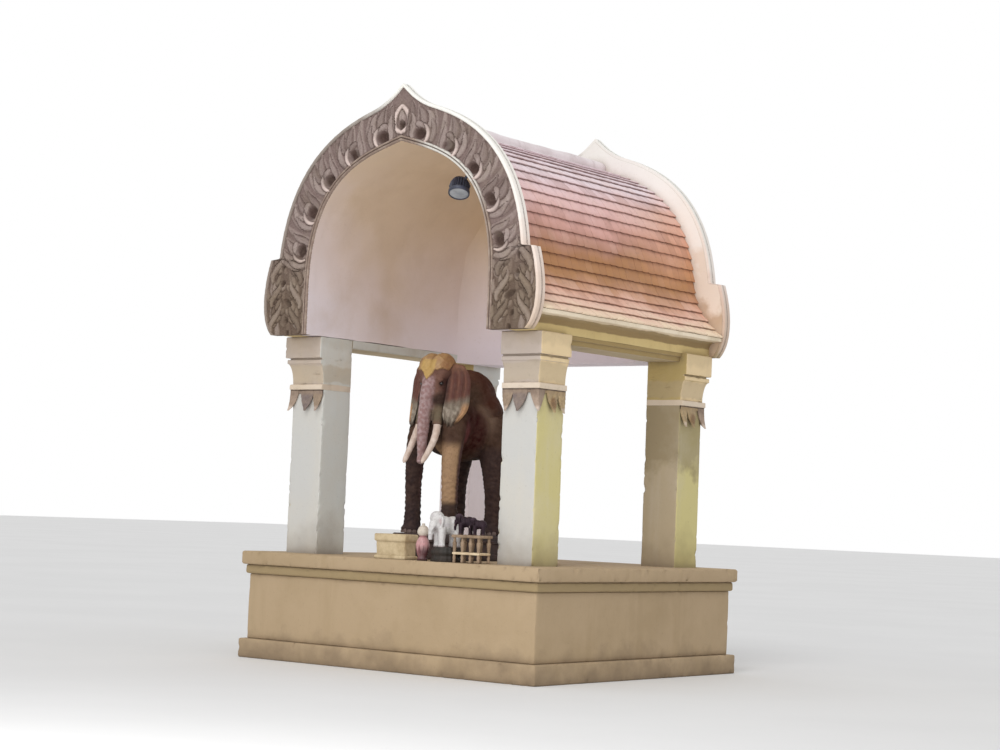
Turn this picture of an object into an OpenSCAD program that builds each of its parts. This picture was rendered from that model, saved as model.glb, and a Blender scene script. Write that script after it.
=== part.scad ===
// Open shrine pavilion: four square piers on a moulded plinth carry a pointed
// barrel vault with a tiled roof between two raised ogee gables, carved on their faces.
// An elephant statue stands inside. Front is -Y, right is +X, ground is z = 0.

/* [Plinth] */
// Height of the plinth, from the ground to the floor
plinth_h = 560; // [420:10:900]
// How far the floor slab reaches past the piers
floor_margin = 164; // [120:2:260]
// Height of the floor slab
slab_h = 70; // [40:2:110]
// Height of the thin band under the slab
band_h = 48; // [24:2:80]
// Height of the base course on the ground
base_h = 100; // [60:5:160]
// How far each course of the plinth is set back from the one that oversails it
course_step = 16; // [6:1:30]

/* [Piers and beams] */
// Clear width between the piers, across the front
opening_w = 1200; // [900:10:1600]
// Clear length between the piers, along each side
side_open = 1050; // [900:10:1500]
// Side of a square pier
pier_w = 218; // [180:2:280]
// Height of the vault's springing above the floor
spring_h = 1145; // [1100:5:1500]
// Height of a capital
capital_h = 280; // [180:5:360]
// How far the top of a capital stands out from the pier
capital_out = 36; // [16:1:60]
// Height of the square lip at the foot of a capital
lip_h = 28; // [10:1:34]
// Height of the hollow moulding above the lip
hollow_h = 110; // [80:1:130]
// Height of the fillet above the hollow, and of the groove above that
fillet_h = 20; // [10:1:26]
groove_h = 10; // [5:1:16]
// Height of the hanging leaf band under a capital
leaf_h = 112; // [60:2:160]
// Thickness of the leaves where they hang from the lip, and how far their tips flare out from the pier
leaf_t = 10; // [6:1:16]
leaf_out = 30; // [16:1:44]
// Depth of the beams below the springing
beam_drop = 45; // [20:1:120]
// Height of the strip set back along the foot of each side beam, and its set-back
strip_h = 25; // [10:1:40]
strip_back = 10; // [4:1:20]
// Thickness of the wall that closes the rear of the vault
rear_wall_t = 180; // [90:5:210]

/* [Vault and roof] */
// Height over the springing where the inner face begins to curve
straight_h = 250; // [100:5:320]
// Height of the inner crown over the springing
crown_rise = 977; // [850:5:1200]
// How far the curve keeps to the upright before it turns in
haunch_pull = 588; // [460:4:700]
// How far the curve runs out flat from the crown
crown_pull = 247; // [160:1:340]
// Fall of the curve over that run
crown_fall = 72; // [20:1:110]
// Thickness of the vault's masonry
vault_t = 96; // [60:2:130]
// How far the vault's ends stand past the piers, at the front and rear
verge_out = 81; // [40:1:110]
// How far the roof and its gables stand forward of the middle of the piers
roof_forward = 23; // [0:1:40]
// Thickness of a roof tile's bed
tile_bed = 14; // [8:1:24]
// Step at the lower edge of each course of tiles
tile_step = 13; // [6:1:20]
// Courses of tiles on each side
tile_courses = 22; // [14:1:28]
// How far the eave stands out past the vault's outer face
eave_out = 192; // [150:2:240]
// Height of the eave's edge over the springing
eave_rise = 92; // [70:2:130]
// Height of the beam's plain face over the springing, below the hollow under the eave
fascia_h = 40; // [20:1:60]
// Height of the bell-cast at the foot of the roof
bell_h = 290; // [240:5:360]
// Height of the ridge cap over the tiles
ridge_h = 52; // [30:2:80]
// Width of the ridge cap
ridge_w = 170; // [120:2:230]

/* [Gable arches] */
// Width of the gable band, from the inner face of the vault outwards
gable_w = 220; // [190:2:260]
// Thickness of a gable behind its mouldings
gable_t = 50; // [40:2:120]
// Height that the pointed tip gains over the plain curve
tip_rise = 66; // [20:1:120]
// Distance from the centre over which the tip rises
tip_run = 200; // [140:5:280]
// Width of the outer rim moulding
rim_w = 18; // [12:1:36]
// How far the rim and the inner roll stand proud of the gable's face
rim_out = 10; // [8:1:24]
// Width of each of the two rolls along the inner edge
roll_w = 15; // [8:1:22]
// How far the outer of the two rolls stands proud of the face
low_roll_out = 7; // [3:1:10]
// Height of the scrolled foot of a gable
foot_h = 405; // [330:5:480]
// How far the foot swells past the band
foot_out = 90; // [60:2:120]
// Height of the sole under each foot
sole_h = 16; // [8:1:24]

/* [Carving] */
// Flame groups carved along each half of a gable
flame_groups = 5; // [4:1:7]
// Height of the carving over the gable's face
carved_out = 11; // [5:1:14]
// Gap between the carving and the mouldings round it
carved_gap = 4; // [2:1:10]
// Outer radius of the curl at the root of a flame group
curl_r = 36; // [24:1:44]
// Width of the curl's rounded edge
curl_edge = 14; // [8:1:18]
// Width of a flame at its broadest
flame_w = 46; // [30:1:60]
// Tiers of leaves on each foot
foot_tiers = 4; // [3:1:5]

/* [Statue] */
// Height of the statue's pedestal
pedestal_h = 130; // [80:5:240]
// Height of the statue from its feet to the top of its head
statue_h = 943; // [700:1:960]
// Distance of the middle of the statue's body in front of the centre
statue_y = 300; // [250:10:330]
// How far the pedestal reaches past the statue's feet
pedestal_rim = 30; // [20:2:60]

/* [Offerings and lamp] */
// How far the offerings stand back from the edge of the floor
ledge_gap = 14; // [6:2:40]
// Height of the white elephant figure
figure_h = 178; // [120:2:200]
// Diameter and height of the dark base under it
figure_base_d = 164; // [140:2:180]
figure_base_h = 72; // [30:2:90]
// Height of the jar beside it
jar_h = 186; // [120:2:220]
// Width of the jar
jar_w = 70; // [60:2:96]
// Width, depth and height of the low stand
stand_w = 180; // [140:2:190]
stand_l = 110; // [90:2:130]
stand_h = 138; // [80:2:160]
// Height of the dark figures on the stand
dark_h = 104; // [70:2:130]
// Width, depth and height of the incense trough
trough_w = 206; // [150:2:240]
trough_l = 104; // [80:2:130]
trough_h = 126; // [70:2:150]
// Thickness of the trough's wall
trough_wall = 14; // [8:1:20]
// Diameter of the lamp under the front arch
lamp_d = 108; // [80:2:130]
// Length of the lamp's housing
lamp_l = 92; // [60:2:120]
// Length of the stem that holds the lamp off the arch
lamp_stem = 90; // [60:2:140]

/* [Hidden] */

plaster = [0.90, 0.88, 0.80];
white = [0.95, 0.95, 0.92];
cement = [0.45, 0.40, 0.36];
terracotta = [0.72, 0.48, 0.36];
dark_stone = [0.22, 0.16, 0.15];
hide = [0.40, 0.24, 0.20];
ivory = [0.86, 0.78, 0.70];
gold = [0.85, 0.65, 0.25];
black = [0.10, 0.10, 0.11];

// Places that the pieces share
half_open = opening_w / 2;
pier_x = half_open + pier_w / 2;
pier_y = side_open / 2 + pier_w / 2;
outer_x = half_open + pier_w;
outer_y = side_open / 2 + pier_w;
floor_x = outer_x + floor_margin;
floor_y = outer_y + floor_margin;
spring_z = plinth_h + spring_h;
crown_z = spring_z + crown_rise;
haunch_z = spring_z + straight_h;
capital_z = spring_z - capital_h;
vault_y = outer_y + verge_out;
gable_y = vault_y + gable_t;
bell_z = spring_z + eave_rise + bell_h;
foot_z = spring_z + foot_h;
curve_steps = 24;

// A list of points in the other order, and mirrored with its first point on the centre line
function reversed(p) = [for (i = [len(p) - 1 : -1 : 0]) p[i]];
function across(p) = concat([for (i = [len(p) - 1 : -1 : 1]) [-p[i][0], p[i][1]]], p);

// Point, and outward normal, of a cubic curve at t from 0 to 1
function curve(p, t) =
    pow(1 - t, 3) * p[0] + 3 * pow(1 - t, 2) * t * p[1] + 3 * (1 - t) * t * t * p[2] + t * t * t * p[3];
function slope(p, t) =
    3 * pow(1 - t, 2) * (p[1] - p[0]) + 6 * (1 - t) * t * (p[2] - p[1]) + 3 * t * t * (p[3] - p[2]);
function outward(v) = [v[1], -v[0]] / norm(v);

// The vault's inner face, from the haunch up to the crown
arch = [[half_open, haunch_z], [half_open, haunch_z + haunch_pull], [crown_pull, crown_z - crown_fall], [0, crown_z]];

// The same face moved outwards by d, from the crown's centre line down to the haunch
function arch_line(d) =
    let(top = crown_z + d * norm([crown_pull, crown_fall]) / crown_pull)
    concat(
        [[0, top]],
        [for (i = [curve_steps - 1 : -1 : 0])
            let(t = i / curve_steps, q = curve(arch, t) + d * outward(slope(arch, t)))
            if (q[0] > 1) q]
    );

// A gable's line rises to a tip near the centre
function tipped(d) = [for (q = arch_line(d)) [q[0], q[1] + tip_rise * pow(max(0, 1 - q[0] / tip_run), 2)]];

// The swelling outer side of a gable's foot, from the band down to the springing
function foot_line(d) =
    let(
        x = half_open + d,
        side = [[x + foot_out * 0.60, foot_z - 6], [x + foot_out * 1.10, foot_z - foot_h * 0.35],
            [x + foot_out * 1.3, foot_z - foot_h * 0.8], [x + foot_out * 0.36, spring_z]]
    )
    concat([[x, foot_z]], [for (i = [0 : 12]) curve(side, i / 12)]);

// Outer side of half a gable at offset d, from the tip down to the springing
function gable_side(d) = concat([for (q = tipped(d)) if (q[1] > foot_z + 1) q], foot_line(d));

// Running length of a path of points, and the point and side direction at a length
function lengths(p) =
    [for (i = 0, s = 0; i < len(p); s = s + (i + 1 < len(p) ? norm(p[i + 1] - p[i]) : 0), i = i + 1) s];
function leg(c, s) = max([for (k = [0 : len(c) - 2]) c[k] <= s ? k : 0]);
function at(p, c, s) = let(k = leg(c, s)) p[k] + (s - c[k]) / (c[k + 1] - c[k]) * (p[k + 1] - p[k]);
function side_of(p, c, s) = let(k = leg(c, s), v = p[k + 1] - p[k]) [-v[1], v[0]] / norm(v);

// The tiles' bed line: the vault's outer face, then a bell-cast out to the eave
function bed_line() =
    let(
        upper = [for (q = arch_line(vault_t)) if (q[1] > bell_z) q],
        start = upper[len(upper) - 1],
        x = half_open + vault_t,
        bell = [start, [x + 4, bell_z - bell_h * 0.35], [x + eave_out * 0.34, bell_z - bell_h * 0.64],
            [x + eave_out, bell_z - bell_h]]
    )
    concat(upper, [for (i = [1 : 10]) curve(bell, i / 10)]);

bed = bed_line();
bed_s = lengths(bed);
bed_l = bed_s[len(bed_s) - 1];
course = bed_l / tile_courses;

// A point on the tiles: course k, and the share e of its length down to its stepped lower edge
function tile_top(k, e) =
    let(s = min(course * (k + e), bed_l - 0.01))
    at(bed, bed_s, s) + (tile_bed + e * tile_step) * side_of(bed, bed_s, s);
function tile_apex() = let(q = tile_top(0, 0)) [0, q[1] + q[0] * crown_fall / crown_pull];

// Extrudes an outline in X and Z along Y, from y0 to y1
module along_y(y0, y1) {
    translate([0, y1, 0])
        rotate([90, 0, 0])
            linear_extrude(height = y1 - y0) children();
}

// The roof, its gables and what hangs from them stand a little forward
module roof_place() {
    translate([0, -roof_forward, 0]) children();
}

// Mirrors a right-hand, rear piece to another corner
module to_corner(sx, sy) {
    mirror([sx < 0 ? 1 : 0, 0, 0])
        mirror([0, sy < 0 ? 1 : 0, 0]) children();
}

// A course of the plinth, set back from the floor slab's edge
module plinth_course(back, z0, z1) {
    translate([back - floor_x, back - floor_y, z0])
        cube([2 * (floor_x - back), 2 * (floor_y - back), z1 - z0]);
}

module plinth_base() {
    color(plaster) plinth_course(0, 0, base_h);
}

module plinth_body() {
    color(plaster) plinth_course(2 * course_step, base_h, plinth_h - slab_h - band_h);
}

module plinth_band() {
    color(plaster) plinth_course(course_step, plinth_h - slab_h - band_h, plinth_h - slab_h);
}

module floor_slab() {
    color(plaster) plinth_course(0, plinth_h - slab_h, plinth_h);
}

// Shaft of a pier, from the floor to the underside of its capital
module pier(sx, sy) {
    color(plaster)
        to_corner(sx, sy)
            translate([half_open, side_open / 2, plinth_h])
                cube([pier_w, pier_w, spring_h - capital_h]);
}

// A capital's moulded side, seen along one outer face: lip, hollow, fillet, groove and block
function capital_profile() =
    let(
        lip_out = capital_out * 0.45,
        neck_out = capital_out * 0.1,
        hollow_out = capital_out * 0.78,
        z1 = lip_h + hollow_h,
        z2 = z1 + fillet_h,
        z3 = z2 + groove_h
    )
    concat(
        [[0, 0], [lip_out, 0], [lip_out, lip_h]],
        [for (i = [0 : 8]) let(a = 90 * i / 8)
            [neck_out + (hollow_out - neck_out) * (1 - cos(a)), lip_h + hollow_h * sin(a)]],
        [[hollow_out, z2], [neck_out + hollow_out / 2, z2], [neck_out + hollow_out / 2, z3],
            [capital_out, z3], [capital_out, capital_h], [0, capital_h]]
    );

// One run of moulding on the face toward +Y, from x = 0 to x = l
module capital_run(l) {
    rotate([90, 0, 90])
        linear_extrude(height = l) polygon(capital_profile());
}

// Mouldings run round the two outer faces only, and meet in a mitre: the inner faces stay flush
module capital(sx, sy) {
    color(plaster)
        to_corner(sx, sy)
            translate([half_open, side_open / 2, capital_z]) {
                cube([pier_w, pier_w, capital_h]);
                translate([0, pier_w, 0]) capital_run(pier_w);
                translate([pier_w, 0, 0]) mirror([1, -1, 0]) capital_run(pier_w);
                translate([pier_w, pier_w, 0])
                    intersection() {
                        capital_run(capital_out + 1);
                        mirror([1, -1, 0]) capital_run(capital_out + 1);
                    }
            }
}

// A hanging leaf of width w, from the lip at z = 0 down to its tip, flaring out toward +Y
module leaf(w) {
    hull() {
        translate([-w / 2, 0, -leaf_h * 0.18]) cube([w, leaf_t, leaf_h * 0.18]);
        translate([-w * 0.36, leaf_out * 0.2, -leaf_h * 0.55]) cube([w * 0.72, leaf_t, 2]);
        translate([-3, leaf_out - leaf_t, -leaf_h]) cube([6, leaf_t, 3]);
    }
}

// Leaves along one outer face: one in the middle and half a leaf at the inner end
module leaf_run() {
    leaf_w = pier_w * 0.42;
    translate([pier_w / 2, 0, 0]) leaf(leaf_w);
    translate([leaf_w * 0.36, 0, 0]) leaf(leaf_w * 0.72);
    cube([pier_w, leaf_t * 0.6, leaf_h * 0.18]);
}

// A leaf folded round the outer corner
module corner_leaf() {
    w = pier_w * 0.21;
    hull() {
        translate([-w, -w, -leaf_h * 0.18]) cube([w + leaf_t, w + leaf_t, leaf_h * 0.18]);
        translate([-w * 0.6, -w * 0.6, -leaf_h * 0.55]) cube([w * 0.6 + leaf_t * 1.2, w * 0.6 + leaf_t * 1.2, 2]);
        translate([leaf_out * 0.5, leaf_out * 0.5, -leaf_h]) cube([5, 5, 3]);
    }
}

module leaves(sx, sy) {
    color(plaster)
        to_corner(sx, sy)
            translate([half_open, side_open / 2, capital_z]) {
                difference() {
                    union() {
                        translate([0, pier_w, 0]) leaf_run();
                        mirror([1, -1, 0]) translate([0, pier_w, 0]) leaf_run();
                        translate([pier_w, pier_w, 0]) corner_leaf();
                    }
                    translate([-1, -1, -leaf_h - 1]) cube([pier_w + 1, pier_w + 1, 2 * leaf_h]);
                    translate([-1, -1, 0]) cube([2 * pier_w, 2 * pier_w, leaf_h]);
                }
            }
}

// Side beam between two piers, with a strip set back along its lower edge
module side_beam(sx) {
    z = spring_z - beam_drop;
    color(plaster)
        to_corner(sx, 1)
            along_y(-side_open / 2, side_open / 2)
                polygon([[half_open, z], [outer_x - strip_back, z], [outer_x - strip_back, z + strip_h],
                    [outer_x, z + strip_h], [outer_x, spring_z], [half_open, spring_z]]);
}

// Wall that closes the vault over the rear opening, between the rear piers
module rear_wall() {
    z = spring_z - beam_drop;
    color(plaster)
        along_y(outer_y - rear_wall_t, outer_y)
            polygon(concat(across(arch_line(0)), [[half_open, z], [-half_open, z]]));
}

module vault(sx) {
    inner = arch_line(0);
    outer = arch_line(vault_t);
    color(plaster)
        roof_place() to_corner(sx, 1)
            along_y(-vault_y, vault_y)
                polygon(concat(outer, [[half_open + vault_t, spring_z], [half_open, spring_z]], reversed(inner)));
}

// Tiles on one side, and the solid eave with a hollow under its edge
module roof(sx) {
    eave = bed[len(bed) - 1];
    tiles = [for (k = [0 : tile_courses - 1]) for (e = [0, 1]) tile_top(k, e)];
    eave_t = 6;
    hollow = [[eave[0] - 2, eave[1] - eave_t], [outer_x + 4, eave[1] - eave_t], [outer_x, spring_z + fascia_h + 22],
        [outer_x, spring_z + fascia_h]];
    color(terracotta)
        roof_place() to_corner(sx, 1)
            along_y(-vault_y, vault_y)
                polygon(concat([tile_apex()], tiles, [eave], [for (i = [0 : 6]) curve(hollow, i / 6)],
                    [[outer_x, spring_z], [half_open + vault_t, spring_z]], reversed(arch_line(vault_t))));
}

// The ridge cap is seated on the upper courses
module ridge_cap() {
    n = floor(ridge_w / 2 / course);
    edge = tile_top(n, ridge_w / 2 / course - n);
    top = tile_apex()[1] + ridge_h;
    crest = [[0, top], [ridge_w * 0.12, top - ridge_h * 0.10], [ridge_w * 0.30, top - ridge_h * 0.42],
        [edge[0], edge[1] + ridge_h * 0.4], edge];
    seat = concat([tile_apex()], [for (k = [0 : n]) for (e = [0, 1]) if (k < n || e == 0) tile_top(k, e)]);
    color(white)
        roof_place() along_y(-vault_y, vault_y) polygon(concat(across(crest), reversed(across(seat))));
}

// A gable's body: from the vault's inner face out to its rim
module gable(sx, sy) {
    color(cement)
        roof_place() to_corner(sx, sy)
            along_y(vault_y, gable_y)
                polygon(concat(gable_side(gable_w - rim_w), [[half_open, spring_z]], reversed(arch_line(0))));
}

// The rim runs over the gable's whole thickness and stands proud of its face
module rim(sy) {
    color(white)
        roof_place() to_corner(1, sy)
            along_y(vault_y, gable_y + rim_out)
                polygon(concat(across(gable_side(gable_w)), reversed(across(gable_side(gable_w - rim_w)))));
}

// Band along the inner edge of a gable, from the springing over the crown
function roll_band(w) =
    concat([[-half_open - w, spring_z]], across(arch_line(w)), [[half_open + w, spring_z], [half_open, spring_z]],
        reversed(across(arch_line(0))), [[-half_open, spring_z]]);

// Two rolls, the inner one higher, and a sole under each foot
module rolls(sy) {
    sole_end = foot_line(gable_w - rim_w)[13][0];
    color(white)
        roof_place() to_corner(1, sy) {
            along_y(gable_y, gable_y + low_roll_out) polygon(roll_band(2 * roll_w));
            along_y(gable_y, gable_y + rim_out) polygon(roll_band(roll_w));
            for (m = [0, 1])
                mirror([m, 0, 0])
                    translate([half_open + roll_w, gable_y, spring_z])
                        cube([sole_end - half_open - roll_w, low_roll_out, sole_h]);
        }
}

// A pointed flame with its root at the origin and its tip at +Y, leaning toward -X
module flame(l, w, lean) {
    left = [[-w * 0.35, 0], [-w * 0.8, l * 0.45], [-lean * 0.2 - w * 0.2, l * 0.75], [-lean, l]];
    right = [[-lean, l], [w * 0.25 - lean * 0.2, l * 0.72], [w * 0.75, l * 0.35], [w * 0.35, 0]];
    polygon(concat([for (i = [0 : 6]) curve(left, i / 6)], [for (i = [1 : 6]) curve(right, i / 6)]));
}

// A flame cut in two steps, with a rib along its middle
module carved_flame(x, y, turn, l, w) {
    translate([x, y, 0])
        rotate([0, 0, turn]) {
            linear_extrude(height = carved_out * 0.6) flame(l, w, l * 0.12);
            linear_extrude(height = carved_out) flame(l * 0.82, w * 0.42, l * 0.10);
        }
}

// One flame group over a width p: a curl round a hollow at its root, and three flames over it
module flame_group(p, band) {
    c = [p * 0.40, curl_r];
    translate([c[0], c[1], 0])
        linear_extrude(height = carved_out)
            difference() {
                circle(r = curl_r, $fn = 40);
                circle(r = curl_r - curl_edge, $fn = 40);
                translate([-2 * curl_r, -curl_r * 0.15]) square([1.7 * curl_r, 2 * curl_r]);
            }
    carved_flame(c[0] - curl_r * 0.75, c[1] + curl_r * 0.9, 12, band - c[1] - curl_r * 0.9, flame_w);
    carved_flame(c[0] + curl_r * 0.45, c[1] + curl_r * 0.75, 4, band - c[1] - curl_r * 0.75, flame_w);
    carved_flame(c[0] + curl_r * 1.55, 0, 8, band * 0.95, flame_w);
}

// Flames along one side of the band, springing from the rolls
module side_carving() {
    root = [for (q = arch_line(2 * roll_w + carved_gap)) if (q[1] > foot_z - foot_h * 0.12) q];
    c = lengths(root);
    band = gable_w - rim_w - 2 * roll_w - 2 * carved_gap;
    start = band * 0.42;
    pitch = (c[len(c) - 1] - start) / flame_groups;
    for (i = [0 : flame_groups - 1]) {
        s = start + pitch * i;
        q = at(root, c, s + pitch * 0.5);
        v = side_of(root, c, s + pitch * 0.5);
        translate([q[0], q[1], 0])
            rotate([0, 0, atan2(-v[0], v[1])])
                translate([-pitch * 0.5, 0, 0]) flame_group(pitch, band);
    }
}

// Leaves on the foot, crossing from the rolls and from the rim
module foot_carving() {
    low = spring_z + sole_h + carved_gap;
    tier = (foot_h - sole_h) / (foot_tiers + 0.6);
    x0 = half_open + 2 * roll_w + carved_gap;
    for (i = [0 : foot_tiers - 1]) {
        carved_flame(x0 + flame_w * 0.5, low + tier * i, -32, tier * 1.45, flame_w);
        carved_flame(x0 + gable_w * 0.62, low + tier * (i + 0.35), 30, tier * 1.35, flame_w * 0.9);
    }
}

// Lotus bud at the crown: a pointed ring round a core
module lotus() {
    l = gable_w - rim_w - 2 * roll_w - carved_gap;
    translate([0, crown_z + 2 * roll_w + carved_gap * 2, 0]) {
        linear_extrude(height = carved_out)
            difference() {
                flame(l, flame_w * 1.5, 0);
                translate([0, curl_edge]) flame(l - 2.2 * curl_edge, flame_w * 1.5 - 2 * curl_edge, 0);
            }
        linear_extrude(height = carved_out * 0.8) translate([0, curl_edge * 0.8]) flame(l * 0.55, flame_w * 0.5, 0);
    }
}

module carving(sy) {
    color(cement)
        roof_place() to_corner(1, sy)
            translate([0, gable_y, 0])
                rotate([90, 0, 0])
                    mirror([0, 0, 1]) {
                        lotus();
                        for (m = [0, 1]) mirror([m, 0, 0]) {
                            side_carving();
                            foot_carving();
                        }
                    }
}

// The statue is drawn at its real size and follows statue_h from its feet
module on_pedestal() {
    translate([0, -statue_y, plinth_h + pedestal_h])
        scale(statue_h / 943) children();
}

statue_k = statue_h / 943;
foot_r = 54;
leg_x = 122;
front_leg_y = -240;
hind_leg_y = 118;

module pedestal() {
    x = (leg_x + foot_r) * statue_k + pedestal_rim;
    y0 = (front_leg_y - foot_r) * statue_k - pedestal_rim;
    y1 = (hind_leg_y + foot_r) * statue_k + pedestal_rim;
    step = pedestal_h * 0.2;
    color(dark_stone)
        translate([0, -statue_y, plinth_h]) {
            translate([-x, y0, 0]) cube([2 * x, y1 - y0, pedestal_h - step]);
            translate([step / 2 - x, y0 + step / 2, pedestal_h - step]) cube([2 * x - step, y1 - y0 - step, step]);
        }
}

// A leg: foot, ankle and thigh
module elephant_leg(x, y, thigh) {
    translate([x, y, 0]) {
        cylinder(h = 36, r1 = foot_r, r2 = foot_r - 8, $fn = 32);
        translate([0, 0, 36]) cylinder(h = 110, r1 = 44, r2 = 45, $fn = 32);
        translate([0, 0, 146]) cylinder(h = 300, r1 = 45, r2 = thigh, $fn = 32);
    }
}

module elephant_body() {
    color(hide)
        on_pedestal() {
            for (sx = [-1, 1]) {
                elephant_leg(sx * leg_x, front_leg_y, 52);
                elephant_leg(sx * leg_x, hind_leg_y, 70);
            }
            hull() {
                translate([0, -130, 580]) sphere(r = 168, $fn = 26);
                translate([0, 78, 565]) sphere(r = 180, $fn = 26);
                translate([0, -110, 700]) sphere(r = 145, $fn = 24);
                translate([0, 40, 728]) sphere(r = 150, $fn = 24);
                for (x = [-leg_x, leg_x]) translate([x, front_leg_y + 6, 470]) sphere(r = 50, $fn = 20);
            }
            translate([0, 250, 690]) rotate([186, 0, 0]) cylinder(h = 360, r1 = 20, r2 = 9, $fn = 16);
        }
}

// Forehead with its two domes, and the cheeks below
module head_form(grow) {
    hull() {
        for (x = [-36, 36]) translate([x, -226, 852]) sphere(r = 82 + grow, $fn = 24);
        for (x = [-46, 46]) translate([x, -250, 700]) sphere(r = 52 + grow, $fn = 18);
    }
}

// One length of the trunk between two points and their radii
module trunk_part(y0, z0, r0, y1, z1, r1) {
    hull() {
        translate([0, y0, z0]) sphere(r = r0, $fn = 18);
        translate([0, y1, z1]) sphere(r = r1, $fn = 18);
    }
}

// Ears hang from the side of the brow, and their lower lobes swing forward
module ear() {
    hull() {
        translate([78, -222, 858]) sphere(r = 16, $fn = 14);
        translate([150, -186, 866]) sphere(r = 12, $fn = 14);
        translate([184, -182, 800]) sphere(r = 10, $fn = 14);
        translate([184, -206, 625]) sphere(r = 10, $fn = 14);
        translate([120, -276, 552]) sphere(r = 9, $fn = 14);
        translate([90, -284, 640]) sphere(r = 10, $fn = 14);
    }
}

module elephant_head() {
    color(hide)
        on_pedestal() {
            head_form(0);
            trunk_part(-270, 770, 62, -312, 650, 41);
            trunk_part(-312, 650, 41, -330, 530, 31);
            trunk_part(-330, 530, 31, -330, 430, 25);
            trunk_part(-330, 430, 25, -342, 358, 19);
            ear();
            mirror([1, 0, 0]) ear();
        }
}

module elephant_tusks() {
    color(ivory)
        on_pedestal()
            for (sx = [-1, 1])
                translate([sx * 56, -270, 565])
                    rotate([148, 0, 0]) {
                        cylinder(h = 240, r1 = 22, r2 = 12, $fn = 24);
                        translate([0, 0, 240]) sphere(r = 12, $fn = 24);
                    }
}

// Headpiece over the domes, with a pendant on the forehead
module elephant_cap() {
    color(gold)
        on_pedestal()
            difference() {
                union() {
                    intersection() {
                        head_form(9);
                        translate([-200, -500, 872]) cube([400, 500, 120]);
                    }
                    intersection() {
                        head_form(13);
                        translate([0, -230, 880])
                            rotate([90, 0, 0])
                                linear_extrude(height = 200) polygon([[-50, -8], [0, 20], [50, -8], [0, -90]]);
                    }
                }
                head_form(0);
            }
}

// A small elephant figure of height h, facing -Y
module small_elephant(h) {
    for (x = [-0.16, 0.16]) {
        translate([x * h, -0.24 * h, 0]) cylinder(h = 0.5 * h, r1 = 0.11 * h, r2 = 0.13 * h, $fn = 20);
        translate([x * h, 0.22 * h, 0]) cylinder(h = 0.5 * h, r1 = 0.11 * h, r2 = 0.13 * h, $fn = 20);
        translate([x * h * 1.4, -0.30 * h, 0.72 * h]) rotate([100, 0, 0]) cylinder(h = 0.05 * h, r = 0.17 * h, $fn = 20);
    }
    hull() {
        translate([0, -0.12 * h, 0.60 * h]) sphere(r = 0.27 * h, $fn = 16);
        translate([0, 0.14 * h, 0.60 * h]) sphere(r = 0.27 * h, $fn = 16);
    }
    hull() {
        translate([0, -0.34 * h, 0.80 * h]) sphere(r = 0.20 * h, $fn = 16);
        translate([0, -0.44 * h, 0.62 * h]) sphere(r = 0.13 * h, $fn = 16);
    }
    hull() {
        translate([0, -0.48 * h, 0.62 * h]) sphere(r = 0.10 * h, $fn = 12);
        translate([0, -0.54 * h, 0.18 * h]) sphere(r = 0.06 * h, $fn = 12);
    }
}

figure_x = 342;
figure_y = ledge_gap + figure_base_d / 2 - floor_y;
jar_x = figure_x - figure_base_d / 2 - jar_w / 2 - 2;
stand_x = figure_x + figure_base_d / 2 + 4;

module white_figure() {
    color(white)
        translate([figure_x, figure_y, plinth_h]) {
            cylinder(h = figure_base_h * 0.8, r = figure_base_d / 2, $fn = 40);
            translate([0, 0, figure_base_h * 0.8])
                cylinder(h = figure_base_h * 0.2, r1 = figure_base_d / 2, r2 = figure_base_d * 0.44, $fn = 40);
            translate([0, 0, figure_base_h]) rotate([0, 0, -28]) small_elephant(figure_h);
        }
}

// Turned jar with a foot, a belly, a collar and a domed lid
module lidded_jar() {
    r = jar_w / 2;
    h = jar_h;
    color([0.80, 0.45, 0.45])
        translate([jar_x, r + ledge_gap - floor_y, plinth_h])
            rotate_extrude($fn = 40)
                polygon([[0, 0], [r * 0.72, 0], [r * 0.78, h * 0.05], [r * 0.60, h * 0.10], [r * 0.90, h * 0.26],
                    [r, h * 0.40], [r * 0.86, h * 0.54], [r * 0.50, h * 0.64], [r * 0.56, h * 0.68],
                    [r * 0.80, h * 0.72], [r * 0.84, h * 0.78], [r * 0.62, h * 0.90], [r * 0.2, h * 0.95],
                    [r * 0.16, h], [0, h]]);
}

// Low stand on turned legs
module offering_stand() {
    top_t = 14;
    leg_r = 11;
    inset = leg_r + 4;
    color([0.66, 0.56, 0.45])
        translate([stand_x, ledge_gap - floor_y, plinth_h]) {
            translate([0, 0, stand_h - top_t]) cube([stand_w, stand_l, top_t]);
            translate([6, 6, stand_h * 0.30]) cube([stand_w - 12, stand_l - 12, 12]);
            for (i = [0 : 3]) for (y = [inset, stand_l - inset])
                translate([inset + i * (stand_w - 2 * inset) / 3, y, 0]) {
                    cylinder(h = stand_h - top_t, r = leg_r * 0.7, $fn = 20);
                    translate([0, 0, stand_h * 0.5]) cylinder(h = stand_h * 0.2, r1 = leg_r * 0.7, r2 = leg_r, $fn = 20);
                }
        }
}

module dark_figures() {
    color(dark_stone)
        for (i = [0, 1])
            translate([stand_x + stand_w * (0.28 + 0.46 * i), ledge_gap + stand_l * 0.5 - floor_y, plinth_h + stand_h])
                rotate([0, 0, -55]) small_elephant(dark_h * (1 - 0.16 * i));
}

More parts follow.
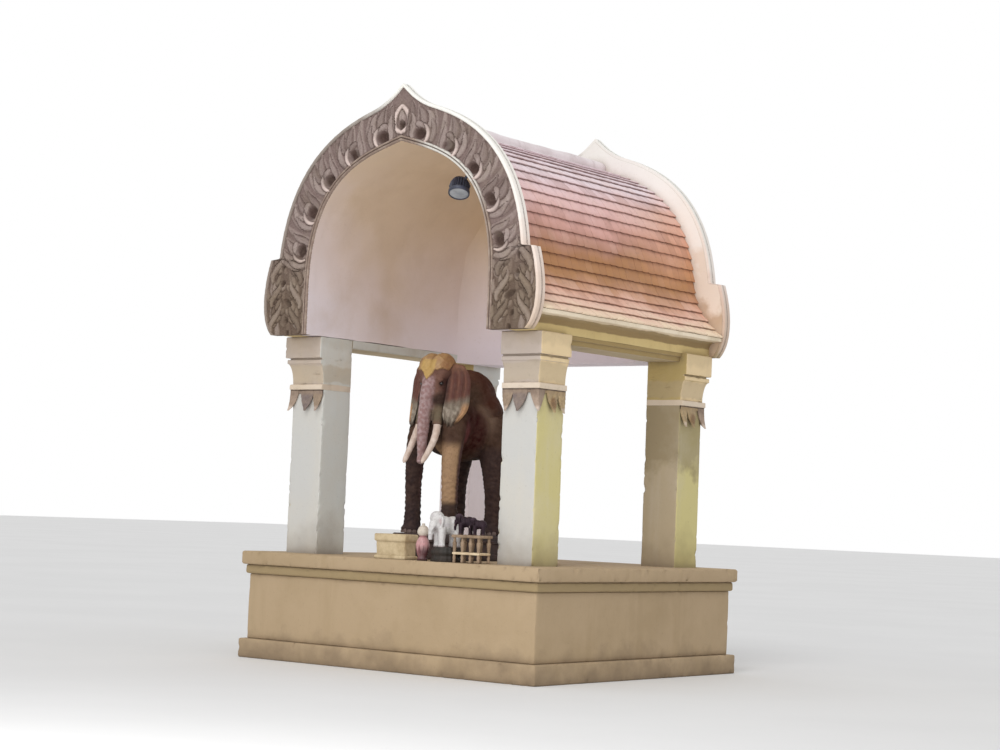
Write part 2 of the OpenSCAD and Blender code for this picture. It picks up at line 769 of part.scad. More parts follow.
// Open trough for incense, with a lip round its top and a bed of sand inside
module incense_trough() {
    x = figure_x - figure_base_d / 2 - jar_w - 52 - trough_w;
    lip = 8;
    color([0.80, 0.72, 0.58])
        translate([x, ledge_gap - floor_y, plinth_h])
            difference() {
                union() {
                    translate([lip, lip, 0]) cube([trough_w - 2 * lip, trough_l - 2 * lip, trough_h]);
                    cube([trough_w, trough_l, trough_h * 0.14]);
                    translate([0, 0, trough_h * 0.72]) cube([trough_w, trough_l, trough_h * 0.28]);
                }
                translate([lip + trough_wall, lip + trough_wall, trough_h * 0.62])
                    cube([trough_w - 2 * (lip + trough_wall), trough_l - 2 * (lip + trough_wall), trough_h]);
            }
}

// Round lamp on a stem from the inner edge of the front arch, aimed down at the statue
module arch_lamp() {
    t = 0.48;
    q = curve(arch, t);
    n = outward(slope(arch, t));
    plate_t = 8;
    color(black)
        translate([q[0], 10 - roof_forward - vault_y, q[1]]) {
            rotate([0, atan2(n[0], n[1]) + 180, 0]) {
                cylinder(h = plate_t, r = 30, $fn = 32);
                cylinder(h = lamp_stem, r = 8, $fn = 24);
            }
            translate([-n[0] * lamp_stem, 0, -n[1] * lamp_stem])
                rotate([158, -14, 0])
                    translate([0, 0, -lamp_l * 0.5]) {
                        cylinder(h = lamp_l * 0.35, r1 = lamp_d * 0.32, r2 = lamp_d * 0.47, $fn = 40);
                        translate([0, 0, lamp_l * 0.35]) cylinder(h = lamp_l * 0.5, r = lamp_d * 0.47, $fn = 40);
                        translate([0, 0, lamp_l * 0.85]) cylinder(h = lamp_l * 0.15, r = lamp_d * 0.5, $fn = 40);
                    }
        }
}

plinth_base();
plinth_body();
plinth_band();
floor_slab();
pier(-1, -1);  // pier_front_left
pier(1, -1);  // pier_front_right
pier(-1, 1);  // pier_rear_left
pier(1, 1);  // pier_rear_right
capital(-1, -1);  // capital_front_left
capital(1, -1);  // capital_front_right
capital(-1, 1);  // capital_rear_left
capital(1, 1);  // capital_rear_right
leaves(-1, -1);  // leaves_front_left
leaves(1, -1);  // leaves_front_right
leaves(-1, 1);  // leaves_rear_left
leaves(1, 1);  // leaves_rear_right
side_beam(-1);  // beam_left
side_beam(1);  // beam_right
rear_wall();
vault(-1);  // vault_left
vault(1);  // vault_right
roof(-1);  // roof_left
roof(1);  // roof_right
ridge_cap();
gable(-1, -1);  // front_gable_left
gable(1, -1);  // front_gable_right
gable(-1, 1);  // rear_gable_left
gable(1, 1);  // rear_gable_right
rim(-1);  // front_rim
rim(1);  // rear_rim
rolls(-1);  // front_rolls
rolls(1);  // rear_rolls
carving(-1);  // front_carving
carving(1);  // rear_carving
pedestal();
elephant_body();
elephant_head();
elephant_tusks();
elephant_cap();
white_figure();
lidded_jar();
offering_stand();
dark_figures();
incense_trough();
arch_lamp();
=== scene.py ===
import math

import bmesh
import bpy
import numpy as np
from mathutils import Matrix, Vector


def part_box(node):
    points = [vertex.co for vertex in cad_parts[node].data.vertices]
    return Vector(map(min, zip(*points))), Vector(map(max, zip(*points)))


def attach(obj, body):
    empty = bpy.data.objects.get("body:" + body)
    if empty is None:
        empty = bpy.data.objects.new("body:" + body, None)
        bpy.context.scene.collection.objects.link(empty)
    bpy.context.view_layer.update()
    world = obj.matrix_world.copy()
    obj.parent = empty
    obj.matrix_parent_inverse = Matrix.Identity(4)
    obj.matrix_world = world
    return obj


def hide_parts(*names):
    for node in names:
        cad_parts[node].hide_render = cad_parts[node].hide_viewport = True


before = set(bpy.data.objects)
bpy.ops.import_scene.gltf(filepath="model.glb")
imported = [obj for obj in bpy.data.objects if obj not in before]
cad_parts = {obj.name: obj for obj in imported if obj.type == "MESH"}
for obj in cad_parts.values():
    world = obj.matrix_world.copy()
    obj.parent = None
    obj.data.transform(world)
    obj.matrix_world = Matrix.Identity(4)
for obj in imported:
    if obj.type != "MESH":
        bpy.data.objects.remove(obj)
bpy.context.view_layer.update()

# Sizes read from the frame
wall_low, wall_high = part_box("rear_wall")
HALF, CROWN = wall_high.x, wall_high.z
WALL_FRONT, BEAM_FOOT = wall_low.y, wall_low.z
vault_low, vault_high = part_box("vault_right")
SPRING = vault_low.z
VAULT_T = vault_high.x - HALF
ROOF_Y = (vault_low.y + vault_high.y) / 2
VAULT_Y = vault_high.y - ROOF_Y
GABLE_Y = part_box("rear_gable_right")[1].y - ROOF_Y
RIM_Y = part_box("rear_rim")[1].y - ROOF_Y
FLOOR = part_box("floor_slab")[1].z
OUTER_X, OUTER_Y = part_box("pier_rear_right")[1].xy
PIER_W = OUTER_X - HALF
CAPITAL_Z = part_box("capital_rear_right")[0].z
CAPITAL_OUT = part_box("capital_rear_right")[1].x - OUTER_X

# The part's own values for its curves
STRAIGHT_H = 0.250
HAUNCH_PULL = 0.588
CROWN_PULL = 0.247
CROWN_FALL = 0.072
GABLE_W = 0.220
RIM_W = 0.018
ROLL_W = 0.015
TIP_RISE = 0.066
TIP_RUN = 0.200
FOOT_H = 0.405
FOOT_OUT = 0.090
TILE_BED = 0.014
TILE_STEP = 0.013
TILE_COURSES = 22
EAVE_OUT = 0.192
EAVE_RISE = 0.092
FASCIA_H = 0.040
BELL_H = 0.290

HAUNCH = SPRING + STRAIGHT_H
FOOT_TOP = SPRING + FOOT_H
ARCH = np.array([[HALF, HAUNCH], [HALF, HAUNCH + HAUNCH_PULL], [CROWN_PULL, CROWN - CROWN_FALL],
                 [0, CROWN]])


# Curves of the building

def cubic(p, t):
    p = np.asarray(p, float)
    t = np.asarray(t, float)[:, None]
    return (1 - t) ** 3 * p[0] + 3 * (1 - t) ** 2 * t * p[1] + 3 * (1 - t) * t * t * p[2] + t**3 * p[3]


def cubic_normal(p, t):
    p = np.asarray(p, float)
    t = np.asarray(t, float)[:, None]
    v = (1 - t) ** 2 * (p[1] - p[0]) + 2 * (1 - t) * t * (p[2] - p[1]) + t * t * (p[3] - p[2])
    n = np.stack([v[:, 1], -v[:, 0]], axis=1)
    return n / np.linalg.norm(n, axis=1)[:, None]


def lengths(p):
    return np.concatenate([[0], np.cumsum(np.linalg.norm(np.diff(p, axis=0), axis=1))])


def resampled(p, count):
    """The same path with that many points, evenly spaced."""
    s = lengths(p)
    at = np.linspace(0, s[-1], count)
    return np.stack([np.interp(at, s, p[:, k]) for k in range(p.shape[1])], axis=1)


def arch_line(d):
    """The vault's inner face moved out by d, from the centre line down to the haunch."""
    top = CROWN + d * math.hypot(CROWN_PULL, CROWN_FALL) / CROWN_PULL
    t = np.linspace(1, 0, 97)
    q = cubic(ARCH, t) + d * cubic_normal(ARCH, t)
    return np.vstack([[[0, top]], q[q[:, 0] > 0.001]])


def foot_line(d):
    """The swelling outer side of a gable's foot."""
    x = HALF + d
    side = [
        [x + FOOT_OUT * 0.60, FOOT_TOP - 0.006],
        [x + FOOT_OUT * 1.10, FOOT_TOP - FOOT_H * 0.35],
        [x + FOOT_OUT * 1.3, FOOT_TOP - FOOT_H * 0.8],
        [x + FOOT_OUT * 0.36, SPRING],
    ]
    return cubic(side, np.linspace(0, 1, 41))


def band_side(d):
    """The outer side of half a gable at offset d, from its tip to the top of the foot."""
    q = arch_line(d)
    q[:, 1] += TIP_RISE * np.maximum(0, 1 - q[:, 0] / TIP_RUN) ** 2
    return np.vstack([q[q[:, 1] > FOOT_TOP + 0.001], [[HALF + d, FOOT_TOP]]])


def bed_line():
    """The bed of the tiles: the vault's outer face, then a bell-cast out to the eave."""
    upper = arch_line(VAULT_T)
    bell_z = SPRING + EAVE_RISE + BELL_H
    upper = upper[upper[:, 1] > bell_z]
    x = HALF + VAULT_T
    bell = [
        upper[-1],
        [x + 0.004, bell_z - BELL_H * 0.35],
        [x + EAVE_OUT * 0.34, bell_z - BELL_H * 0.64],
        [x + EAVE_OUT, bell_z - BELL_H],
    ]
    return np.vstack([upper, cubic(bell, np.linspace(0, 1, 41))[1:]])


# Unevenness

def ripple(points, size, seed):
    """Smooth noise of spread 1, with bumps of about that size."""
    waves = 16
    rng = np.random.default_rng(seed)
    points = np.asarray(points, float)
    k = rng.normal(size=(waves, points.shape[-1]))
    k *= (2 * math.pi / size * rng.uniform(0.5, 1.4, waves) / np.linalg.norm(k, axis=1))[:, None]
    phase = rng.uniform(0, 2 * math.pi, waves)
    return np.sin(points @ k.T + phase).sum(axis=-1) / math.sqrt(waves / 2)


def mottle(points, size, seed, hard=1.0):
    """Patches between 0 and 1, of about that size."""
    return 0.5 + 0.5 * np.tanh(hard * ripple(points, size, seed))


def smoothstep(x, a, b):
    t = np.clip((np.asarray(x, float) - a) / (b - a), 0, 1)
    return t * t * (3 - 2 * t)


# Meshes

class Shape:
    """Points and faces gathered for one piece."""

    def __init__(self):
        self.points, self.faces, self.slots, self.count = [], [], [], 0

    def add(self, points, faces):
        self.points.append(np.asarray(points, float))
        self.faces += [tuple(i + self.count for i in f) for f in faces]
        self.slots += [0] * len(faces)
        self.count += len(points)

    def grid(self, p, slots=0, closed=True):
        """Quads over p[u, v]. Closed, its last column joins the first, and a face ends each outer row."""
        index = self.count + np.arange(p.shape[0] * p.shape[1]).reshape(p.shape[:2])
        a = np.concatenate([index, index[:, :1]], axis=1) if closed else index
        quads = np.stack([a[:-1, :-1], a[1:, :-1], a[1:, 1:], a[:-1, 1:]], axis=-1)
        self.points.append(p.reshape(-1, 3).astype(float))
        self.count += index.size
        self.faces += quads.reshape(-1, 4).tolist()
        self.slots += np.broadcast_to(slots, quads.shape[:2]).ravel().tolist()
        if closed:
            self.faces += [index[0].tolist(), index[-1][::-1].tolist()]
            self.slots += [0, 0]

    def all_points(self):
        return np.vstack(self.points)


def make_piece(name, shape, materials, nodes=(), sharp=40, layers=None, weld=0.0, colours=None):
    """Builds a mesh piece that rides on the building and stands for the CAD nodes named."""
    mesh = bpy.data.meshes.new(name)
    mesh.from_pydata(shape.all_points().tolist(), [], shape.faces)
    for material in materials if isinstance(materials, list) else [materials]:
        mesh.materials.append(material)
    mesh.polygons.foreach_set("material_index", shape.slots)
    for key, values in (layers or {}).items():
        layer = mesh.attributes.new(key, "FLOAT", "POINT")
        layer.data.foreach_set("value", np.asarray(values, np.float32))
    bm = bmesh.new()
    bm.from_mesh(mesh)
    if weld:
        bmesh.ops.remove_doubles(bm, verts=bm.verts, dist=weld)
    bmesh.ops.recalc_face_normals(bm, faces=bm.faces)
    bm.to_mesh(mesh)
    bm.free()
    mesh.shade_smooth()
    mesh.set_sharp_from_angle(angle=math.radians(sharp))
    if colours is not None:
        layer = mesh.color_attributes.new("paint", "FLOAT_COLOR", "POINT")
        opaque = np.column_stack([colours, np.ones(len(colours))])
        layer.data.foreach_set("color", opaque.astype(np.float32).ravel())
    piece = bpy.data.objects.new(name, mesh)
    bpy.context.scene.collection.objects.link(piece)
    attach(piece, "root")
    if nodes:
        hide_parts(*nodes)


def rounded_rectangle(x0, x1, y0, y1, r, steps):
    """Points round a rectangle from its lower left corner, the way out of each, and 1 at the corners."""
    middles = np.array([(x0 + r, y0 + r), (x1 - r, y0 + r), (x1 - r, y1 - r), (x0 + r, y1 - r)])
    points, ways, corner = [], [], []
    for k in range(4):
        a = np.radians(np.linspace(180, 270, 5) + 90 * k)
        arc = np.column_stack([np.cos(a), np.sin(a)])
        side = np.linspace(middles[k], middles[(k + 1) % 4], steps[k % 2] + 1)[1:-1] + r * arc[-1]
        points += [middles[k] + r * arc, side]
        ways += [arc, np.tile(arc[-1], (len(side), 1))]
        corner += [np.ones(len(arc)), np.zeros(len(side))]
    return np.concatenate(points), np.concatenate(ways), np.concatenate(corner)


def block(shape, levels, step, wear, seed, chips):
    """A worn body of rounded rectangles: levels are (z, x0, x1, y0, y1, corner radius, edge 0 or 1)."""
    x0, x1, y0, y1 = levels[0][1:5]
    steps = (max(2, int((x1 - x0) / step)), max(2, int((y1 - y0) / step)))
    rings, ways, edges = [], [], []
    for z, ax, bx, ay, by, radius, edge in levels:
        ring, way, corner = rounded_rectangle(ax, bx, ay, by, radius, steps)
        rings.append(np.column_stack([ring, np.full(len(ring), z)]))
        ways.append(np.column_stack([way, np.zeros(len(ring))]))
        edges.append(np.maximum(corner, edge))
    p = np.array(rings)
    large_chips = np.maximum(0, ripple(p, 0.045, seed + 1) - 0.9)
    small_chips = np.maximum(0, ripple(p, 0.018, seed + 2) - 1.2)
    lost = np.minimum(large_chips + small_chips * 0.6, 1.6)
    move = -wear * mottle(p, 0.30, seed) - chips * np.array(edges) * lost
    shape.grid(p + move[..., None] * np.array(ways))


def even_levels(levels, step):
    """Adds levels between those given, where they are further apart than step."""
    out = [levels[0]]
    for a, b in zip(levels[:-1], levels[1:]):
        n = max(1, int(math.ceil((b[0] - a[0]) / step)))
        for i in range(1, n + 1):
            row = [a[k] + i / n * (b[k] - a[k]) for k in range(6)]
            out.append((*row, b[6] if i == n else 0.0))
    return out


def inset_levels(low, high, rows, radius, step):
    """Levels within a box, from rows of (height, inset from its sides)."""
    levels = [(z, low.x + d, high.x - d, low.y + d, high.y - d, radius, 1.0) for z, d in rows]
    return even_levels(levels, step)


def run_along_y(shape, profile, y0, y1, step, wear, seed, slots=0):
    """A closed outline in X and Z, drawn along Y, slightly uneven."""
    ys = np.linspace(y0, y1, max(2, int(abs(y1 - y0) / step) + 1))
    x, z = profile.T
    p = np.empty((len(ys), len(profile), 3))
    p[..., 0] = x
    p[..., 1] = ys[:, None]
    p[..., 2] = z
    ahead = np.roll(profile, -1, axis=0) - np.roll(profile, 1, axis=0)
    way = np.stack([ahead[:, 1], -ahead[:, 0]], axis=1)
    way /= np.linalg.norm(way, axis=1)[:, None] + 1e-9
    way *= 1 if np.sum(x * np.roll(z, -1) - np.roll(x, -1) * z) > 0 else -1
    move = -wear * mottle(p, 0.25, seed)
    p[..., 0] += move * way[:, 0]
    p[..., 2] += move * way[:, 1]
    shape.grid(p, slots)


# Materials

class Paint:
    """A small node tree: each method adds nodes and gives back the socket that carries their result.

    Colours are given in 0 to 255 as seen.
    """

    def __init__(self, name, roughness=0.85):
        self.material = bpy.data.materials.new(name)
        self.material.use_nodes = True
        self.nodes = self.material.node_tree.nodes
        self.links = self.material.node_tree.links
        self.shader = self.nodes["Principled BSDF"]
        self.shader.inputs["Roughness"].default_value = roughness
        self.place = self.nodes.new("ShaderNodeTexCoord").outputs["Object"]

    def put(self, socket, value):
        if isinstance(value, bpy.types.NodeSocket):
            self.links.new(value, socket)
        elif isinstance(value, tuple):
            socket.default_value = (*srgb(*value), 1)
        else:
            socket.default_value = value

    def noise(self, scale, detail=4, rough=0.55, stretch=(1, 1, 1)):
        mapping = self.nodes.new("ShaderNodeMapping")
        self.links.new(self.place, mapping.inputs["Vector"])
        mapping.inputs["Scale"].default_value = stretch
        node = self.nodes.new("ShaderNodeTexNoise")
        self.links.new(mapping.outputs["Vector"], node.inputs["Vector"])
        node.inputs["Scale"].default_value = scale
        node.inputs["Detail"].default_value = detail
        node.inputs["Roughness"].default_value = rough
        return node.outputs["Fac"]

    def axis(self, which, normal=False):
        """One coordinate of the place, or of the surface's own direction."""
        split = self.nodes.new("ShaderNodeSeparateXYZ")
        source = self.nodes.new("ShaderNodeNewGeometry").outputs["True Normal"] if normal else self.place
        self.links.new(source, split.inputs[0])
        return split.outputs["XYZ".index(which)]

    def layer(self, name):
        node = self.nodes.new("ShaderNodeAttribute")
        node.attribute_name = name
        return node.outputs["Fac"]

    def span(self, value, a, b, to_a=0.0, to_b=1.0):
        """Maps a to to_a and b to to_b, and stays within them."""
        node = self.nodes.new("ShaderNodeMapRange")
        self.put(node.inputs["Value"], value)
        for key, number in (("From Min", a), ("From Max", b), ("To Min", to_a), ("To Max", to_b)):
            node.inputs[key].default_value = number
        return node.outputs["Result"]

    def sum(self, kind, a, b=0.0):
        node = self.nodes.new("ShaderNodeMath")
        node.operation = kind
        self.put(node.inputs[0], a)
        self.put(node.inputs[1], b)
        return node.outputs[0]

    def mix(self, share, a, b):
        node = self.nodes.new("ShaderNodeMix")
        node.data_type = "RGBA"
        self.put(node.inputs["Factor"], share)
        self.put(node.inputs["A"], a)
        self.put(node.inputs["B"], b)
        return node.outputs["Result"]

    def ramp(self, value, *stops):
        node = self.nodes.new("ShaderNodeValToRGB")
        self.links.new(value, node.inputs["Fac"])
        band = node.color_ramp
        while len(band.elements) < len(stops):
            band.elements.new(0.5)
        for element, (place, colour) in zip(band.elements, stops):
            element.position = place
            element.color = (*srgb(*colour), 1)
        return node.outputs["Color"]

    def wander(self, scale, detail, reach):
        """Smooth noise between -reach and reach."""
        return self.span(self.noise(scale, detail), 0.3, 0.7, -reach, reach)

    def roaming(self, which, scale, detail, reach):
        """A coordinate of the place, moved by noise."""
        return self.sum("ADD", self.axis(which), self.wander(scale, detail, reach))

    def zone(self, value, a, b, soft):
        """1 between a and b, falling to 0 beyond them."""
        return self.sum("MULTIPLY", self.span(value, a - soft, a), self.span(value, b, b + soft, 1.0, 0.0))

    def facing(self):
        """How far a face looks away from the building's middle, to left or right: 1 outwards, -1 inwards."""
        return self.sum("MULTIPLY", self.axis("X", normal=True), self.sum("SIGN", self.axis("X")))

    def blotches(self, base, tint, share, scale, a, b, detail=4, rough=0.55):
        """The base with patches of tint, up to that share, where the noise rises from a to b."""
        return self.mix(self.span(self.noise(scale, detail, rough), a, b, 0.0, share), base, tint)

    def corners(self, base, tint, share, distance, a=0.3, b=0.9):
        """The base with tint in corners and hollows of about that size, found by ambient occlusion: painted
        shade.
        """
        node = self.nodes.new("ShaderNodeAmbientOcclusion")
        node.samples = 6
        node.inputs["Distance"].default_value = distance
        return self.mix(self.span(node.outputs["AO"], a, b, share, 0.0), base, tint)

    def grain(self, coarse, detail, rough, fine, share):
        """A coarse and a fine noise added, for bump."""
        small = self.noise(*fine)
        return self.sum("ADD", self.noise(coarse, detail, rough), self.sum("MULTIPLY", small, share))

    def finish(self, colour, height=None, distance=0.002, strength=0.6, roughness=None):
        self.put(self.shader.inputs["Base Color"], colour)
        if roughness is not None:
            self.put(self.shader.inputs["Roughness"], roughness)
        if height is not None:
            bump = self.nodes.new("ShaderNodeBump")
            bump.inputs["Distance"].default_value = distance
            bump.inputs["Strength"].default_value = strength
            self.links.new(height, bump.inputs["Height"])
            self.links.new(bump.outputs["Normal"], self.shader.inputs["Normal"])
        return self.material


def srgb(r, g, b):
    """A colour given in 0 to 255 as seen, for a shader."""
    def one(v):
        v /= 255
        return v / 12.92 if v <= 0.04045 else ((v + 0.055) / 1.055) ** 2.4
    return (one(r), one(g), one(b))


# Colours as seen, in 0 to 255
LILAC_WHITE = (203, 202, 198)
LILAC_GREY = (218, 220, 216)
ROSE_WHITE = (246, 236, 238)
CREAM_WHITE = (197, 183, 172)
CREAM = (212, 201, 142)
PEACH = (238, 213, 170)
TAN = (181, 158, 127)
SOOT = (176, 154, 118)
OLIVE = (150, 134, 102)
# Dust, which also tints the painted shade in the plaster's corners
DUST_AND_SHADE = (116, 98, 78)


def limewash(name, front, side, stain, share, inner, bands=(), grime=None, dirt=DUST_AND_SHADE):
    """Weathered plaster with blotches and runs, and painted light and shade: a tint to the front and rear,
    one outwards and one inwards, and darker corners.

    bands are (z0, z1, softness, tint, share) stripes along the height. grime is (z0, z1, share at z0).
    """
    p = Paint(name, roughness=0.9)
    # Painted light and shade: each way a face looks takes its own tint.
    way = p.facing()
    base = p.mix(p.span(way, 0.35, 0.75), front, side)
    base = p.mix(p.span(way, -0.35, -0.75), base, inner)
    for z0, z1, soft, tint, amount in bands:
        stripe = p.zone(p.roaming("Z", 7.0, 4, soft), z0, z1, soft)
        base = p.mix(p.sum("MULTIPLY", stripe, amount), base, tint)
    base = p.blotches(base, stain, share, 2.4, 0.46, 0.72, 6, 0.6)
    runs = p.noise(9.0, 5, 0.6, stretch=(1.0, 1.0, 0.10))
    base = p.mix(p.span(runs, 0.56, 0.74, 0.0, share * 0.7), base, stain)
    base = p.blotches(base, dirt, 0.25, 70.0, 0.62, 0.8, 3, 0.6)
    if grime:
        z0, z1, amount = grime
        base = p.mix(p.span(p.roaming("Z", 6.0, 5, 0.08), z0, z1, amount, 0.0), base, dirt)
    # Painted shade: corners and hollows darkened toward the dirt colour.
    base = p.corners(base, dirt, share=0.55, distance=0.05)
    return p.finish(base, p.grain(14.0, 4, 0.5, (120.0, 3, 0.6), 0.22), distance=0.006, strength=0.35)


GRIME = (FLOOR - 0.05, FLOOR + 0.20, 0.45)
# Painted light and shade: the front piers lilac white to the front, cream outwards.
pier_plaster = limewash("pier_plaster", LILAC_WHITE, CREAM, (216, 208, 192), 0.35, LILAC_GREY, grime=GRIME)
# Painted shade and a painted green reflection: the rear piers' fronts tan, olive under the capitals.
rear_pier_plaster = limewash(
    "rear_pier_plaster", (186, 170, 142), CREAM, (206, 196, 180), 0.4, LILAC_GREY,
    bands=[(CAPITAL_Z - 0.30, CAPITAL_Z + 0.02, 0.10, OLIVE, 0.7)], grime=GRIME)
# Painted light: the rear left pier paler than the others, as if lit.
rear_left_plaster = limewash("rear_left_plaster", (243, 232, 238), CREAM, (220, 210, 212), 0.3,
                             (250, 240, 246), grime=(FLOOR - 0.05, FLOOR + 0.10, 0.3))
# Painted highlight on the lip, painted shadow under the gable's foot, and a darker band over the hollow.
CAPITAL_BANDS = [(CAPITAL_Z - 0.01, CAPITAL_Z + 0.029, 0.002, (226, 210, 192), 0.9),
                 (SPRING - 0.030, SPRING + 0.02, 0.035, OLIVE, 0.2),
                 (CAPITAL_Z + 0.045, CAPITAL_Z + 0.125, 0.012, (184, 168, 140), 0.45)]
# Painted light and shade: the capitals cream white to the front, peach outwards.
capital_plaster = limewash("capital_plaster", CREAM_WHITE, PEACH, (204, 182, 148), 0.4, LILAC_GREY,
                           CAPITAL_BANDS)
# Painted shade and reflection: the rear capitals' fronts olive yellow.
rear_capital_plaster = limewash("rear_capital_plaster", (190, 168, 112), PEACH, (204, 182, 148), 0.4,
                                LILAC_GREY, CAPITAL_BANDS)
plinth_plaster = limewash(
    "plinth_plaster", TAN, TAN, (160, 138, 104), 0.5, TAN,
    bands=[(FLOOR - 0.118, FLOOR - 0.073, 0.004, (156, 136, 98), 0.8)], grime=(0.0, 0.16, 0.6))
# Painted light and shade: the beams cream to the front, darker tan outwards.
beam_plaster = limewash("beam_plaster", (204, 188, 156), (170, 146, 98), (156, 132, 92), 0.35, LILAC_GREY)
# Painted highlight on the eave's lip, painted shade in the hollow under it, and painted light and shade in
# the faces' tints.
eave_plaster = limewash(
    "eave_plaster", (222, 204, 166), (180, 156, 108), (164, 140, 92), 0.35, OLIVE,
    bands=[(SPRING - 0.01, SPRING + 0.039, 0.003, (232, 208, 148), 0.85),
           (SPRING + 0.046, SPRING + 0.078, 0.006, (152, 128, 90), 0.75),
           (SPRING + 0.081, SPRING + 0.112, 0.002, (255, 240, 216), 0.92)])
# Painted light and shade in the tints to the front, outwards and inwards.
gable_back = limewash(
    "gable_back", (255, 252, 246), (238, 222, 204), (244, 235, 226), 0.35, (220, 198, 176),
    bands=[(SPRING - 0.1, SPRING + 0.50, 0.12, (236, 216, 196), 0.7),
           (SPRING - 0.1, SPRING + 0.24, 0.10, (192, 160, 126), 0.80)], dirt=(168, 146, 126))
ridge_plaster = limewash("ridge_plaster", ROSE_WHITE, ROSE_WHITE, (190, 170, 168), 0.6, ROSE_WHITE)


def vault_material():
    """Tan toward the crown as painted shade and smoke stain, and lilac white low down toward the rear as
    painted light.
    """
    p = Paint("vault_plaster", roughness=0.92)
    # Painted shade and smoke stain: tan rising toward the crown.
    height = p.sum("ADD", p.roaming("Z", 1.7, 3, 0.16), p.sum("MULTIPLY", p.axis("Y"), 0.30))
    colour = p.ramp(p.span(height, SPRING - 0.20, CROWN + 0.2), (0.0, (234, 224, 228)),
                    (0.28, (230, 213, 206)), (0.50, (222, 200, 177)), (0.75, (221, 197, 167)),
                    (1.0, (238, 215, 186)))
    colour = p.blotches(colour, (190, 164, 132), 0.35, 3.0, 0.5, 0.75, 6, 0.6)
    # Painted light: lilac white low down toward the rear.
    deep = p.span(p.axis("Y"), -0.25, 0.58)
    lilac = p.sum("MULTIPLY", deep, p.span(p.axis("Z"), SPRING + 0.72, SPRING + 0.05))
    colour = p.mix(p.sum("MULTIPLY", lilac, 0.92), colour, (252, 244, 255))
    colour = p.blotches(colour, SOOT, 0.15, 60.0, 0.62, 0.8, 3)
    return p.finish(colour, p.grain(8.0, 4, 0.5, (90.0, 3), 0.2), distance=0.006, strength=0.3)


def white_material():
    """Painted mouldings: chalky white high up, pinkish cream lower down, worn to brown on the left."""
    p = Paint("white_paint", roughness=0.8)
    wander = p.wander(5.0, 4, 0.1)
    base = p.ramp(p.span(p.sum("ADD", p.axis("Z"), wander), SPRING, CROWN + 0.25), (0.0, (186, 166, 132)),
                  (0.07, (214, 190, 169)), (0.30, (240, 222, 210)), (0.42, (252, 244, 236)),
                  (0.80, (255, 253, 246)))
    worn = p.span(p.sum("ADD", p.axis("X"), wander), -0.30, -0.06, 0.92, 0.0)
    base = p.mix(worn, base, (140, 126, 116))
    base = p.blotches(base, (186, 168, 154), 0.3, 28.0, 0.60, 0.75, 5, 0.65)
    # Painted shade in corners and hollows.
    base = p.corners(base, (120, 100, 88), share=0.45, distance=0.03)
    return p.finish(base, p.noise(60.0, 4), distance=0.003, strength=0.35)


def roll_material():
    """The rolls round the arch: worn to the cement, with white paint left on the upper right."""
    p = Paint("roll_paint", roughness=0.85)
    wander = p.wander(5.0, 4, 0.05)
    base = p.mix(p.span(p.noise(24.0, 5, 0.65), 0.45, 0.65), (146, 126, 114), (174, 156, 142))
    across = p.zone(p.sum("ADD", p.axis("X"), wander), 0.20, 0.50, 0.10)
    up = p.span(p.sum("ADD", p.axis("Z"), wander), SPRING + 0.55, SPRING + 0.66)
    left = p.span(p.noise(30.0, 4), 0.35, 0.5, 0.55, 1.0)
    base = p.mix(p.sum("MULTIPLY", p.sum("MULTIPLY", across, up), left), base, (226, 222, 214))
    # Painted shade in corners and hollows.
    base = p.corners(base, (92, 72, 62), share=0.7, distance=0.03)
    return p.finish(base, p.noise(60.0, 4), distance=0.003, strength=0.35)


def carved_material():
    """Carved cement: brown low down, mauve grey on the leaves, pale on the curls; hollows darkened as
    painted shade and tops lightened as painted highlight.
    """
    p = Paint("carved_cement", roughness=0.88)
    relief, shade = p.layer("relief"), p.layer("shade")
    low = p.span(p.roaming("Z", 4.0, 4, 0.1), SPRING + 0.20, SPRING + 0.55, 1.0, 0.0)
    # Painted shade and highlight: darker the deeper the relief, lighter the higher.
    mauve = p.ramp(relief, (0.0, (70, 50, 44)), (0.34, (112, 92, 87)), (0.56, (136, 117, 112)),
                   (0.76, (152, 134, 128)), (1.0, (166, 150, 144)))
    brown = p.ramp(relief, (0.0, (62, 46, 36)), (0.34, (98, 80, 66)), (0.56, (108, 90, 76)),
                   (0.76, (124, 106, 90)), (1.0, (140, 123, 106)))
    base = p.mix(low, mauve, brown)
    # Each leaf's own random tone, darkened toward its edge as painted shade.
    base = p.mix(p.span(shade, 0.0, 0.5, 0.62, 0.0), base, p.mix(low, (88, 68, 61), (78, 60, 48)))
    base = p.mix(p.span(shade, 0.6, 1.0, 0.0, 0.5), base, (176, 160, 152))
    base = p.blotches(base, (100, 82, 72), 0.45, 24.0, 0.48, 0.72, 5, 0.6)
    base = p.blotches(base, (148, 134, 116), 0.35, 14.0, 0.5, 0.75, 5, 0.6)
    worn = p.span(p.noise(22.0, 4), 0.32, 0.5, 0.5, 0.95)
    light = p.sum("MULTIPLY", p.span(p.layer("pale"), 0.2, 0.8), worn)
    base = p.mix(light, base, p.mix(low, (222, 202, 194), (196, 176, 162)))
    # Painted shade in corners and hollows.
    base = p.corners(base, (72, 54, 48), share=0.16, distance=0.02, a=0.2, b=0.85)
    return p.finish(base, p.noise(110.0, 4, 0.6), distance=0.002, strength=0.4)


